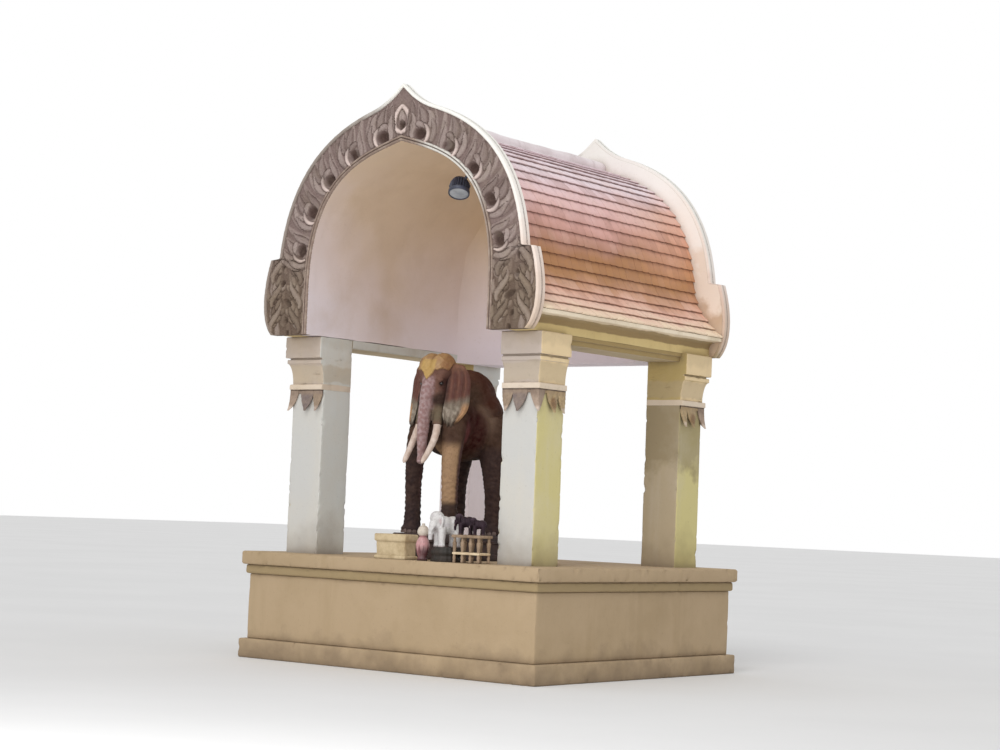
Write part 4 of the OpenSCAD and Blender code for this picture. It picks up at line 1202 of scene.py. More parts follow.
def smooth_path(points, t):
    """Places along a smooth line through the points, for shares t of its length."""
    points = np.array(points)
    s = lengths(points) / lengths(points)[-1]
    return np.stack([soft_line(s, points[:, k], t) for k in range(3)], axis=-1)


def tube(line, r, around):
    """Rings of points round a line, of radius r at each of its points."""
    way = np.gradient(line, axis=0)
    way /= np.linalg.norm(way, axis=1)[:, None]
    other = np.cross(way, [1.0, 0.0, 0.0])
    other /= np.linalg.norm(other, axis=1)[:, None]
    side = np.cross(other, way)
    a = np.linspace(0, 2 * math.pi, around, endpoint=False)[None, :, None]
    return line[:, None] + r[:, None, None] * (np.cos(a) * side[:, None] + np.sin(a) * other[:, None])


def clay_piece(name, points, faces, material, node, colours, sharp=60):
    shape = Shape()
    shape.add(points, faces)
    make_piece(name, shape, material, [node], sharp=sharp, colours=colours)


def soft_line(s, values, t):
    """A smooth curve through the values."""
    slope = np.gradient(values, s)
    k = np.clip(np.searchsorted(s, t, side="right") - 1, 0, len(s) - 2)
    h = s[k + 1] - s[k]
    f = (t - s[k]) / h
    return ((1 + 2 * f) * (1 - f) ** 2 * values[k] + f * (1 - f) ** 2 * h * slope[k]
            + f * f * (3 - 2 * f) * values[k + 1] + f * f * (f - 1) * h * slope[k + 1])


def on_statue(points):
    return np.asarray(points, float) * STATUE_SCALE + np.array(STATUE)


def blot(p, centre, radii, soft=0.35):
    """1 inside an ellipsoid, falling to 0 round it."""
    q = np.linalg.norm((p - np.array(centre)) / np.array(radii), axis=1)
    return 1 - smoothstep(q, 1 - soft, 1 + soft)


def painted(p, base, spots, tone=STATUE_SHADE_TONE):
    """Each point's colour: the base, with each spot's colour over it, all multiplied by tone, which by
    default darkens the statue as painted shade.
    """
    colour = np.tile(srgb(*base), (len(p), 1))
    for amount, tint in spots:
        colour += amount[:, None] * (np.array(srgb(*tint)) - colour)
    return colour * tone


def both(p):
    """The points with their left side folded onto the right."""
    q = p.copy()
    q[:, 0] = np.abs(q[:, 0])
    return q


FRONT_LEG = (0.122, -0.240)
HIND_LEG = (0.122, 0.118)


def elephant_body():
    clay = Clay()
    for row in ((0, -0.12, 0.590, 0.160, 0.155, 0.185), (0, 0.00, 0.565, 0.172, 0.210, 0.180),
                (0, 0.09, 0.595, 0.166, 0.165, 0.200), (0, 0.03, 0.720, 0.130, 0.185, 0.152),
                (0, -0.12, 0.715, 0.115, 0.130, 0.125)):
        clay.ball(*row)
    for sx in (-1, 1):
        x, y = FRONT_LEG[0] * sx, FRONT_LEG[1]
        clay.limb([(x * 0.75, y + 0.06, 0.62), (x * 0.97, y + 0.012, 0.46), (x, y, 0.30),
                   (x, y + 0.003, 0.12), (x, y, 0.0)], [0.080, 0.056, 0.045, 0.042, 0.048])
        x, y = HIND_LEG[0] * sx, HIND_LEG[1]
        clay.limb([(x * 0.78, y - 0.02, 0.62), (x * 0.93, y + 0.002, 0.45), (x, y + 0.004, 0.29),
                   (x, y + 0.010, 0.13), (x, y, 0.0)], [0.112, 0.082, 0.054, 0.044, 0.049])
        for x, y in (FRONT_LEG, HIND_LEG):
            clay.ball(x * sx, y - 0.004, 0.024, 0.053, 0.054, 0.027)
    clay.limb([(0, 0.235, 0.76), (0, 0.262, 0.66), (0, 0.275, 0.52), (0, 0.283, 0.39)],
              [0.024, 0.018, 0.012, 0.010])
    clay.ball(0, 0.284, 0.355, 0.016, 0.015, 0.036)
    p, n, faces = clay.skin(voxel=0.0062, smooth=6)
    x, y, z = p.T
    z[:] = np.maximum(z, 0.0)
    q = both(p)
    folds = 0.0016 * np.sin(z * 2 * math.pi / 0.026 + 2.2 * ripple(p, 0.10, 3)) * smoothstep(z, 0.46, 0.26)
    folds += 0.0012 * np.tanh(ripple(p, 0.045, 4))
    p += n * folds[:, None]
    front_side = smoothstep(-n[:, 1], -0.25, 0.30)
    leg = smoothstep(z, 0.49, 0.43)
    fore = smoothstep(-y, 0.10, 0.18)
    colours = painted(p, (74, 52, 40), [
        (0.7 * mottle(p, 0.09, 6, 1.5), (88, 66, 52)),
        (0.8 * smoothstep(z, 0.74, 0.86), (112, 72, 58)),
        (0.85 * smoothstep(z, 0.60, 0.70) * smoothstep(y, -0.05, 0.05), (78, 36, 24)),
        (0.85 * blot(q, (0.16, -0.02, 0.60), (0.07, 0.07, 0.09)), (128, 104, 88)),
        (1.0 * blot(q, (0.15, -0.10, 0.53), (0.12, 0.10, 0.13)), (52, 0, 0)),
        (0.8 * blot(q, (0.14, -0.16, 0.50), (0.06, 0.03, 0.09)), (126, 70, 72)),
        # Painted shade: the hind legs dark.
        (0.9 * leg * smoothstep(y, -0.06, 0.0), (58, 43, 43)),
        # Painted light: the right front leg tan where it faces the front.
        (0.95 * leg * front_side * fore * (x > 0), (196, 159, 122)),
        # Painted shade: the left front leg dark.
        (0.90 * leg * (x < 0), (52, 38, 38)),
        # Painted shade: the front legs' sides dark.
        (0.8 * leg * (1 - front_side) * fore, (92, 64, 66)),
        (0.95 * smoothstep(z, 0.185, 0.145) * smoothstep(-y, 0.0, 0.05), (50, 38, 40)),
        (0.9 * smoothstep(z, 0.09, 0.05), (58, 46, 48)),
    ])
    clay_piece("statue_body", on_statue(p), faces, statue_skin, "elephant_body", colours)
    nails = Shape()
    for x, y in (FRONT_LEG, HIND_LEG):
        for sx in (-1, 1):
            for way in np.radians((-152, -121, -90, -59, -28)):
                centre = (sx * x + 0.047 * math.cos(way), y - 0.004 + 0.048 * math.sin(way), 0.018)
                nail(nails, centre, way)
    make_piece("statue_nails", nails, nail_paint, sharp=60)


def nail(shape, centre, way):
    """A rounded toenail that faces outward along way."""
    uu, vv = np.meshgrid(np.linspace(-1, 1, 7), np.linspace(0, 1, 6), indexing="ij")
    width, height, thick, sunk = 0.013, 0.024, 0.006, 0.016
    out = thick * np.sqrt(np.clip(1 - uu**2 * 0.9, 0, 1)) * np.sqrt(np.clip(1 - vv**2, 0, 1)) + 0.001
    along = uu * width * np.sqrt(np.clip(1 - (vv * 0.95) ** 2, 0.05, 1))

    def sheet(out, along, rise):
        return np.stack([centre[0] + math.cos(way) * out - math.sin(way) * along,
                         centre[1] + math.sin(way) * out + math.cos(way) * along,
                         centre[2] - sunk + rise], axis=-1)

    back = sheet(-thick, along * 0.8, vv * height * 0.9)
    loop = np.concatenate([sheet(out, along, vv * height), back[:, ::-1]], axis=1)
    shape.grid(on_statue(loop))


HEAD_Y = -0.226
DOMES = [(0.037, HEAD_Y, 0.850, 0.060, 0.080, 0.083), (-0.037, HEAD_Y, 0.850, 0.060, 0.080, 0.083),
         (0, HEAD_Y - 0.006, 0.795, 0.080, 0.082, 0.100)]


def elephant_head():
    clay = Clay()
    y = HEAD_Y
    for row in (*DOMES, (0, y + 0.060, 0.740, 0.085, 0.080, 0.110),
                (0, y - 0.030, 0.650, 0.040, 0.050, 0.045)):
        clay.ball(*row)
    for sx in (-1, 1):
        clay.ball(sx * 0.048, y - 0.024, 0.715, 0.042, 0.050, 0.060)
        clay.ball(sx * 0.058, y - 0.050, 0.795, 0.022, 0.020, 0.016)
        clay.limb([(sx * 0.044, y - 0.030, 0.690), (sx * 0.053, y - 0.044, 0.620),
                   (sx * 0.056, y - 0.058, 0.560)], [0.036, 0.031, 0.026], 16)
    clay.limb([(0, -0.252, 0.800), (0, -0.284, 0.730), (0, -0.308, 0.655), (0, -0.324, 0.570),
               (0, -0.330, 0.480), (0, -0.330, 0.425), (0, -0.334, 0.385), (0, -0.344, 0.362)],
              [0.060, 0.050, 0.040, 0.033, 0.028, 0.024, 0.021, 0.018], 60, ripples=0.020, waves=26)
    p, n, faces = clay.skin(voxel=0.0045, smooth=4)
    q = both(p)
    p += n * (0.0008 * np.tanh(ripple(p, 0.03, 14)))[:, None]
    eye = np.array((0.068, HEAD_Y - 0.048, 0.777))
    p -= n * (0.005 * np.exp(-(np.linalg.norm(q - eye, axis=1) / 0.013) ** 2))[:, None]
    x, y, z = p.T
    trunk = smoothstep(HEAD_Y - y, 0.055, 0.085) * smoothstep(q[:, 0], 0.052, 0.034)
    trunk *= smoothstep(z, 0.83, 0.79)
    trunk = np.maximum(trunk, smoothstep(z, 0.60, 0.56) * smoothstep(q[:, 0], 0.040, 0.030))
    colours = painted(p, (124, 88, 76), [
        (0.6 * mottle(p, 0.05, 16, 1.5), (142, 104, 90)),
        (0.95 * trunk, (178, 143, 141)),
        (0.75 * trunk * mottle(p, 0.022, 17, 3), (210, 184, 184)),
        # Painted shade: the trunk's right side darker.
        (0.40 * trunk * smoothstep(x, 0.0, 0.03), (148, 112, 110)),
        # Painted shade: the cheek and the hollow between trunk and ear dark.
        (0.90 * blot(q, (0.082, HEAD_Y, 0.750), (0.05, 0.06, 0.085)), (60, 30, 28)),
        (0.95 * blot(q, (0.070, HEAD_Y - 0.03, 0.690), (0.05, 0.07, 0.045)), (36, 20, 16)),
        (0.90 * blot(q, (0.055, HEAD_Y - 0.04, 0.610), (0.05, 0.06, 0.055)), (122, 110, 88)),
        (0.9 * blot(q, eye, (0.013, 0.013, 0.010)), (22, 16, 16)),
    ])
    head, eyes = Shape(), Shape()
    head.add(on_statue(p), faces)
    ears = [ear(head, sx) for sx in (-1, 1)]
    make_piece("statue_head", head, statue_skin, ["elephant_head"], sharp=70,
               colours=np.vstack([colours] + ears))
    for sx in (-1, 1):
        dome(eyes, on_statue((sx * 0.0655, HEAD_Y - 0.048, 0.777)), 0.0085)
    make_piece("statue_eyes", eyes, eye_paint, sharp=80)


def dome(shape, centre, r):
    """A small ball."""
    a = np.linspace(0, 2 * math.pi, 16, endpoint=False)
    b = np.linspace(-math.pi / 2 + 0.15, math.pi / 2 - 0.15, 9)
    aa, bb = np.meshgrid(a, b)
    p = np.stack([np.cos(aa) * np.cos(bb), np.sin(aa) * np.cos(bb), np.sin(bb)], axis=-1) * r + centre
    shape.grid(p)


def ear(shape, sx):
    """A spread ear, folded like cloth, with a rolled top and a lower lobe that swings forward."""
    uu, vv = np.meshgrid(np.linspace(0, 1, 36), np.linspace(0, 1, 46), indexing="ij")
    inner = smooth_path([(0.072, -0.224, 0.866), (0.080, -0.244, 0.780), (0.086, -0.266, 0.690),
                         (0.090, -0.282, 0.610), (0.104, -0.284, 0.570)], vv[0])
    outer = smooth_path([(0.150, -0.190, 0.872), (0.181, -0.184, 0.820), (0.190, -0.188, 0.730),
                         (0.186, -0.204, 0.640), (0.150, -0.252, 0.566)], vv[0])
    p = inner[None] * (1 - uu[..., None]) + outer[None] * uu[..., None]
    p[..., 2] += 0.012 * np.sin(math.pi * uu) * (1 - vv) - 0.014 * np.sin(math.pi * uu) * vv
    p[..., 2] += 0.005 * np.sin(2 * math.pi * uu * 2.6) * smoothstep(vv, 0.7, 1.0)
    wave = np.sin(2 * math.pi * (uu * 3.4 + 0.30 * vv))
    fold = 0.0065 * wave * smoothstep(vv, 0.0, 0.25) * (0.5 + 0.5 * uu)
    roll = -0.012 * np.exp(-((vv - 0.04) / 0.06) ** 2)
    thick = 0.0070
    for share in (uu, vv):
        thick = thick * np.sqrt(np.clip(1 - (2 * share - 1) ** 8, 0.05, 1))
    way = np.array((0.45, -0.89, 0.0))
    back = p + way * (fold - thick - roll)[..., None]
    loop = np.concatenate([p + way * (fold + thick - roll)[..., None], back[:, ::-1]], axis=1)
    loop[..., 0] *= sx
    flat = loop.reshape(-1, 3)
    u, v, stripe = (np.concatenate([k, k[:, ::-1]], axis=1).ravel() for k in (uu, vv, 0.5 + 0.5 * wave))
    blotch = mottle(flat, 0.03, 31, 2)
    colours = painted(flat, (140, 94, 80), [
        (0.75 * stripe, (86, 50, 50)),
        (0.45 * blotch, (112, 80, 72)),
        (0.6 * smoothstep(v, 0.16, 0.04), (160, 116, 90)),
        (0.9 * smoothstep(v + 0.12 * u, 0.56, 0.68), (150, 140, 124)),
        (0.75 * smoothstep(v, 0.60, 0.74) * blotch, (196, 184, 168)),
        (0.9 * smoothstep(u, 0.66, 0.82) * smoothstep(v, 0.56, 0.68), (218, 168, 122)),
        # Painted shade where the ear's inner edge meets the head.
        (0.8 * smoothstep(u, 0.22, 0.02) * smoothstep(v, 0.75, 0.55), (76, 56, 52)),
        (0.8 * smoothstep(v, 0.88, 0.97), (56, 44, 36)),
    ])
    shape.grid(on_statue(loop))
    return colours


def elephant_tusks():
    shape = Shape()
    t = np.linspace(0, 1, 26)
    r = 0.0215 * (1 - 0.42 * t) * np.sqrt(np.clip(1 - np.clip((t - 0.88) / 0.12, 0, 1) ** 2, 0.02, 1))
    r *= 1 + 0.03 * np.sin(t * 40)
    for sx in (-1, 1):
        line = smooth_path([(sx * 0.058, -0.280, 0.570), (sx * 0.066, -0.304, 0.510),
                            (sx * 0.066, -0.350, 0.430), (sx * 0.060, -0.400, 0.360)], t)
        shape.grid(on_statue(tube(line, r, 18)))
    make_piece("statue_tusks", shape, tusk_paint, ["elephant_tusks"], sharp=60)


def elephant_cap():
    """A gilt headpiece over the brow: a net of ribs, a scalloped edge and a diamond between the eyes."""
    clay = Clay()
    for row in DOMES:
        clay.ball(*row)
    p, n, faces = clay.skin(voxel=0.0045, smooth=4)
    x, y, z = p.T
    turn = np.arctan2(x, HEAD_Y - y)
    front = smoothstep(HEAD_Y - y, 0.0, 0.03)
    edge = 0.858 + 0.010 * np.abs(np.sin(turn * 5)) - 0.016 * front
    wide = 0.050 * np.clip((z - 0.790) / 0.062, 0, 1) * (z > 0.786)
    diamond = np.where((front > 0.5) & (z < 0.90), (wide - np.abs(x)) / 0.006, -1)
    within = np.maximum((z - edge) / 0.004, diamond)
    cover = smoothstep(within, -1, 1)
    net = np.maximum(np.cos(turn * 9 + z * 130), np.cos(turn * 9 - z * 130))
    rib = 0.0022 * smoothstep(net, 0.80, 0.95)
    border = 0.0030 * np.exp(-((within - 1.5) / 1.0) ** 2)
    p += n * (-0.010 + cover * (0.0145 + border + rib * (diamond < 0)))[:, None]
    z[:] = np.clip(z, 0.786, 0.9425)
    colours = painted(p, (178, 136, 94), [
        (0.8 * smoothstep(rib, 0.0008, 0.002), (196, 158, 110)),
        (0.9 * smoothstep(diamond, 0.0, 1.5), (206, 168, 94)),
        (0.8 * smoothstep(x, 0.060, 0.085), (150, 100, 66)),
        (0.6 * smoothstep(-x, 0.045, 0.075), (128, 92, 50)),
    ])
    clay_piece("statue_headpiece", on_statue(p), faces, gold_skin, "elephant_cap", colours, 50)


def pedestal_piece():
    low, high = PEDESTAL
    step = (high.z - low.z) * 0.2
    shoulder = high.z - step
    rows = [(low.z, 0.004), (low.z + 0.006, 0.0), (low.z + 0.030, 0.0), (low.z + 0.034, 0.010),
            (shoulder - 0.020, 0.010), (shoulder - 0.014, 0.002), (shoulder - 0.002, 0.0), (shoulder, 0.003),
            (shoulder + 0.001, step / 2), (high.z - 0.005, step / 2), (high.z, step / 2 + 0.005)]
    shape = Shape()
    levels = inset_levels(low, high, rows, radius=0.008, step=0.015)
    block(shape, levels, step=0.012, wear=0.0012, seed=91, chips=0.003)
    make_piece("statue_pedestal", shape, pedestal_paint, ["pedestal"], sharp=40)


def statue_material(name, roughness, fleck, dirt, gloss=0.5):
    """Paint laid by hand over cast stone: the colours stored at the points, flecked and dirty, with corners
    darkened as painted shade.
    """
    p = Paint(name, roughness)
    p.shader.inputs["Specular IOR Level"].default_value = gloss
    node = p.nodes.new("ShaderNodeVertexColor")
    node.layer_name = "paint"
    base = p.blotches(node.outputs["Color"], fleck, 0.30, 34.0, 0.35, 0.7, 5, 0.65)
    base = p.blotches(base, dirt, 0.40, 90.0, 0.5, 0.75, 4, 0.7)
    # Painted shade in corners and hollows.
    base = p.corners(base, (38, 26, 26), share=0.55, distance=0.025, a=0.2, b=0.85)
    rough = p.span(p.noise(18.0, 4), 0.3, 0.7, roughness - 0.15, roughness + 0.1)
    height = p.grain(60.0, 5, 0.65, (220.0, 3), 0.3)
    return p.finish(base, height, distance=0.003, strength=0.5, roughness=rough)


statue_skin = statue_material("statue_skin", 0.72, (112, 88, 76), (60, 38, 30), 0.12)
gold_skin = statue_material("gold_skin", 0.55, (214, 176, 116), (132, 92, 48))
nail_paint = plain_material("nail_paint", (112, 92, 84), (86, 66, 60), 0.6, 60.0)
eye_paint = plain_material("eye_paint", (26, 18, 18), (14, 10, 10), 0.25, 80.0, coat=0.6)
pedestal_piece()
elephant_body()
elephant_head()
elephant_tusks()
elephant_cap()


# Leaves under the capitals

LEAF_H = 0.112
LEAF_T = 0.010
LEAF_OUT = 0.030


def leaf_sheet(w):
    """A hanging leaf of width w: points (across, out, height), its middle at 0 and its top at height 0."""
    t = np.linspace(0, 1, 30)
    x = np.linspace(-1, 1, 19)
    half = w * np.interp(t, [0, 0.18, 0.36, 0.55, 0.75, 0.90, 1.0],
                         [0.50, 0.50, 0.44, 0.36, 0.22, 0.10, 0.035])
    out = np.interp(t, [0, 0.18, 0.40, 0.55, 0.75, 0.90, 1.0],
                    [0, 0, 0.003, 0.006, 0.011, 0.016, LEAF_OUT - LEAF_T])
    rise = 0.55 + 0.45 * np.sqrt(1 - 0.9 * x**2)
    rib = 0.0022 * np.exp(-((x / 0.13) ** 2)) * smoothstep(t, 0.15, 0.35)[:, None]
    vein = np.cos(2 * math.pi * (t[:, None] * 5.0 + np.abs(x) * 1.3))
    vein *= 0.0009 * smoothstep(t, 0.12, 0.3)[:, None]
    front = np.empty((len(t), len(x), 3))
    front[..., 0] = half[:, None] * x
    front[..., 1] = out[:, None] + LEAF_T * rise - rib + vein - 0.0009
    front[..., 2] = -LEAF_H * t[:, None]
    back = front.copy()
    back[..., 1] = np.maximum(out[:, None], 0.0002)
    return np.concatenate([front, back[:, ::-1]], axis=1)


def corner_sheet():
    """The leaf folded round the outer corner: points (along x, along y, height) from that corner."""
    w = PIER_W * 0.21
    t = np.linspace(0, 1, 30)
    x = np.linspace(-1, 1, 25)
    half = w * np.interp(t, [0, 0.18, 0.55, 0.80, 1.0], [1.0, 1.0, 0.60, 0.20, -0.30])
    out = np.interp(t, [0, 0.18, 0.55, 0.80, 1.0], [LEAF_T, LEAF_T, LEAF_T * 1.2, 0.0155, 0.0198])[:, None]
    near = np.interp(t, [0, 0.55, 0.8, 1.0], [0.0, 0.0, 0.006, 0.014])[:, None]
    reach = (half[:, None] + out) * np.abs(x)
    edge = np.minimum(out, near + (out - near) * (0.45 + 0.55 * np.sqrt(1 - 0.9 * np.abs(x) ** 3)))
    sheets = []
    for side in (edge, np.repeat(near, len(x), axis=1)):
        along = np.minimum(out - reach, side)
        height = np.repeat(-LEAF_H * t[:, None], len(x), axis=1)
        sheets.append(np.dstack([np.where(x < 0, along, side), np.where(x < 0, side, along), height]))
    return np.concatenate([sheets[0], sheets[1][:, ::-1]], axis=1)


def leaves_piece(name, sx, sy, seed):
    """A collar, a leaf in the middle of each outer face, half a leaf inside it and one round the corner."""
    leaf_w = PIER_W * 0.42
    shape, colours = Shape(), []

    def place(sheet, face, middle):
        along, out, z = np.moveaxis(sheet, -1, 0)
        if face == "front":
            x, y = HALF + middle + along, OUTER_Y + out
        elif face == "side":
            x, y = OUTER_X + out, OUTER_Y - PIER_W + middle + along
        else:
            x, y = OUTER_X + along, OUTER_Y + out
        p = np.dstack([sx * x, sy * y, CAPITAL_Z + z])
        shape.grid(p)
        flat, local = p.reshape(-1, 3), sheet.reshape(-1, 3)
        down = -local[:, 2] / LEAF_H
        main = middle > 0.05
        body, end = smoothstep(down, 0.12, 0.30), smoothstep(down, 0.70, 0.86) * (not main)
        # Painted light and shade: the front's leaves grey mauve, the side's tan.
        if face == "front":
            spots = [(0.8 * body, (122, 110, 110) if main else (158, 136, 114)),
                     (0.8 * end, (206, 186, 172))]
        elif face == "side":
            # Painted shadow: a brown spot low on the side's middle leaf.
            brown = main * blot(local, (0.0, 0.012, -LEAF_H * 0.60), (0.026, 0.03, 0.030), 0.4)
            spots = [(0.8 * body, (186, 162, 122)), (0.85 * brown, (128, 92, 56)),
                     (0.8 * end, (214, 198, 182))]
        else:
            spots = [(smoothstep(down, 0.15, 0.45), (172, 150, 134)),
                     (smoothstep(down, 0.72, 0.88), (222, 204, 190))]
        spots += [(0.25 * mottle(flat, 0.03, seed, 2), (110, 94, 80)),
                  # Painted shadow: a dark line just under the capital's lip.
                  (smoothstep(down, 0.07, 0.03), (66, 48, 38))]
        # Painted light and shade: a tan base outwards, grey to the front.
        base = (176, 150, 114) if face == "side" else (146, 126, 112)
        colours.append(painted(flat, base, spots, 1.0))

    section = [(0.0002, 0.0), (0.006, 0.0), (0.006, -0.004), (0.0055, -0.008), (0.0055, -0.013),
               (0.005, -0.018), (0.003, -0.0200), (0.0002, -0.0202)]
    collar = np.array([[(a, out, z) for out, z in section] for a in np.linspace(0, PIER_W, 24)])
    for face in ("front", "side"):
        place(collar, face, 0.0)
        place(leaf_sheet(leaf_w), face, PIER_W / 2)
        place(leaf_sheet(leaf_w * 0.72), face, leaf_w * 0.36)
    place(corner_sheet(), "corner", 0.0)
    make_piece("leaf_band_" + name, shape, leaf_plaster, ["leaves_" + name], sharp=45,
               colours=np.vstack(colours))


leaf_plaster = statue_material("leaf_plaster", 0.9, (184, 164, 140), (104, 88, 72))
for index, (name, sx, sy) in enumerate(CORNERS):
    leaves_piece(name, sx, sy, 110 + index)


# Offerings

LEDGE_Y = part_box("floor_slab")[0].y + 0.014
FIGURE_X = 0.342


def lathe(shape, profile, matrix, turn=40, lobes=0, depth=0.0):
    """A turned body from (radius, height) points, fluted where lobes are asked for."""
    a = np.linspace(0, 2 * math.pi, turn, endpoint=False)
    profile = np.array(profile, float)
    flute = 1 - depth * (0.5 + 0.5 * np.cos(lobes * a)) if lobes else np.ones(turn)
    p = np.empty((len(profile), turn, 3))
    p[..., 0] = profile[:, :1] * flute * np.cos(a)
    p[..., 1] = profile[:, :1] * flute * np.sin(a)
    p[..., 2] = profile[:, 1:]
    m = np.array(matrix)
    p = p @ m[:3, :3].T + m[:3, 3]
    shape.grid(p)
    return p.reshape(-1, 3)


def little_elephant(h, turn, foot):
    """A small elephant figure of height h: points for its paint, points in place, and faces."""
    clay = Clay(h)
    for x in (-0.16, 0.16):
        for y in (-0.24, 0.22):
            clay.limb([(x, y, z) for z in (0.56, 0.30, 0.06, 0.0)], [0.13, 0.108, 0.10, 0.115], 16)
        clay.ball(x * 1.38, -0.30, 0.715, 0.150, 0.035, 0.170)
        clay.limb([(x * 0.5, -0.46, 0.60), (x * 0.62, -0.51, 0.50), (x * 0.62, -0.55, 0.44)],
                  [0.035, 0.028, 0.018], 10)
    for row in ((0, -0.12, 0.60, 0.26, 0.27, 0.265), (0, 0.14, 0.60, 0.26, 0.27, 0.265),
                (0.05, -0.34, 0.81, 0.145, 0.19, 0.185), (-0.05, -0.34, 0.81, 0.145, 0.19, 0.185),
                (0, -0.42, 0.64, 0.12, 0.13, 0.13)):
        clay.ball(*row)
    clay.limb([(0, -0.45, 0.66), (0, -0.50, 0.48), (0, -0.52, 0.32), (0, -0.515, 0.19)],
              [0.11, 0.082, 0.066, 0.055], 24, ripples=0.03, waves=9)
    clay.limb([(0, 0.39, 0.66), (0, 0.42, 0.52), (0, 0.41, 0.36)], [0.035, 0.022, 0.02], 10)
    p, _, faces = clay.skin(voxel=0.021, smooth=3)
    x, y, z = p.T
    z[:] = np.maximum(z, 0.0)
    c, d = math.cos(turn), math.sin(turn)
    return p / h, np.column_stack([c * x - d * y, d * x + c * y, z]) + np.array(foot), faces


def white_figure():
    d, h, tall = 0.164, 0.072, 0.178
    y = LEDGE_Y + d / 2
    base = Shape()
    profile = [(0.97, 0.0), (1, 0.004), (1, 0.014), (0.93, 0.019), (0.90, 0.026), (0.93, 0.034),
               (0.985, 0.040), (1, 0.048), (0.985, 0.056), (0.93, 0.061), (0.89, 0.066), (0.88, 0.071),
               (0.84, h - 0.0005), (0.04 / d, h - 0.0005)]
    m = Matrix.Translation((FIGURE_X, y, FLOOR))
    lathe(base, np.array(profile) * [d / 2, 1], m, turn=96, lobes=16, depth=0.035)
    make_piece("figure_base", base, base_glaze, ["white_figure"], sharp=40)
    p, world, faces = little_elephant(tall, math.radians(-28), (FIGURE_X, y, FLOOR + h))
    q = both(p)
    colours = painted(p, (222, 220, 218), [
        (0.5 * smoothstep(ripple(p, 0.2, 61), 0.2, 1.2), (192, 184, 188)),
        (0.8 * smoothstep(p[:, 2], 0.06, 0.02), (150, 134, 130)),
        (0.9 * blot(q, (0.075, -0.49, 0.80), (0.03, 0.03, 0.022)), (40, 34, 36)),
        (0.6 * blot(q, (0.24, -0.33, 0.71), (0.07, 0.05, 0.09)), (206, 176, 178)),
    ], 1.0)
    clay_piece("figure_white", world, faces, glazed_paint, "white_figure", colours)


def lidded_jar():
    r, h = 0.035, 0.186
    x, y = FIGURE_X - 0.082 - r - 0.002, LEDGE_Y + r
    shape = Shape()
    m = Matrix.Translation((x, y, FLOOR))
    body = [(0.68, 0), (0.74, 0.003), (0.78, 0.009), (0.66, 0.014), (0.62, 0.019), (0.78, 0.032),
            (0.90, 0.048), (0.98, 0.064), (1, 0.075), (0.98, 0.084), (0.86, 0.100), (0.66, 0.112),
            (0.54, 0.119), (0.52, 0.123)]
    lid = [(0.52, 0.122), (0.60, 0.127), (0.78, 0.133), (0.84, 0.140), (0.84, 0.146), (0.76, 0.156),
           (0.62, 0.166), (0.42, 0.172), (0.22, 0.176), (0.20, 0.179), (0.24, 0.182), (0.15, h),
           (0.001 / r, h)]
    p = np.vstack([lathe(shape, np.array(body) * [r, 1], m, turn=72, lobes=18, depth=0.03),
                   lathe(shape, np.array(lid) * [r, 1], m, turn=60)])
    z = p[:, 2] - FLOOR
    side = (p[:, 0] - x) / r
    turn = np.arctan2(p[:, 1] - y, p[:, 0] - x)
    petal = smoothstep(np.cos(turn * 9) * 0.016 + 0.062 - z, -0.002, 0.002)
    colours = painted(p, (204, 152, 152), [
        (0.5 * smoothstep(ripple(p, 0.02, 62), 0.0, 1.0), (184, 128, 128)),
        (0.9 * petal, (118, 48, 56)),
        # Painted shade: dark red low on the right side.
        (0.8 * smoothstep(side, -0.4, 0.5) * smoothstep(z, 0.085, 0.045), (70, 22, 30)),
        (0.8 * smoothstep(z, 0.020, 0.012), (70, 30, 36)),
        (0.8 * smoothstep(z, 0.112, 0.116) * smoothstep(z, 0.128, 0.124), (150, 84, 88)),
        (smoothstep(z, 0.124, 0.128), (218, 206, 190)),
    ], 1.0)
    make_piece("jar", shape, glazed_paint, ["lidded_jar"], sharp=50, colours=colours)


def offering_stand():
    low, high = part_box("offering_stand")
    board = 0.014
    for name, z0, z1, inset, material in (
            ("stand_top", high.z - board, high.z, 0.0, stand_wood),
            ("stand_shelf", FLOOR + 0.0414, FLOOR + 0.0534, 0.006, stand_board)):
        rows = [(z0, inset + 0.002), (z0 + 0.003, inset), (z1 - 0.003, inset), (z1, inset + 0.003)]
        shape = Shape()
        levels = inset_levels(low, high, rows, radius=0.004, step=0.006)
        block(shape, levels, step=0.008, wear=0.0012, seed=121, chips=0.0015)
        make_piece(name, shape, material, ["offering_stand"], sharp=45)
    legs, edge = Shape(), 0.015
    profile = [(0.0070, 0.0), (0.0078, 0.003), (0.0078, 0.012), (0.0062, 0.016), (0.0080, 0.024),
               (0.0080, 0.030), (0.0064, 0.034), (0.0076, 0.056), (0.0078, 0.066), (0.0096, 0.082),
               (0.0110, 0.096), (0.0100, 0.101), (0.0074, 0.104), (0.0074, high.z - FLOOR - board)]
    for x in np.linspace(low.x + edge, high.x - edge, 4):
        for y in (low.y + edge, high.y - edge):
            lathe(legs, profile, Matrix.Translation((x, y, FLOOR)), turn=20)
    make_piece("stand_legs", legs, stand_wood, ["offering_stand"], sharp=40)


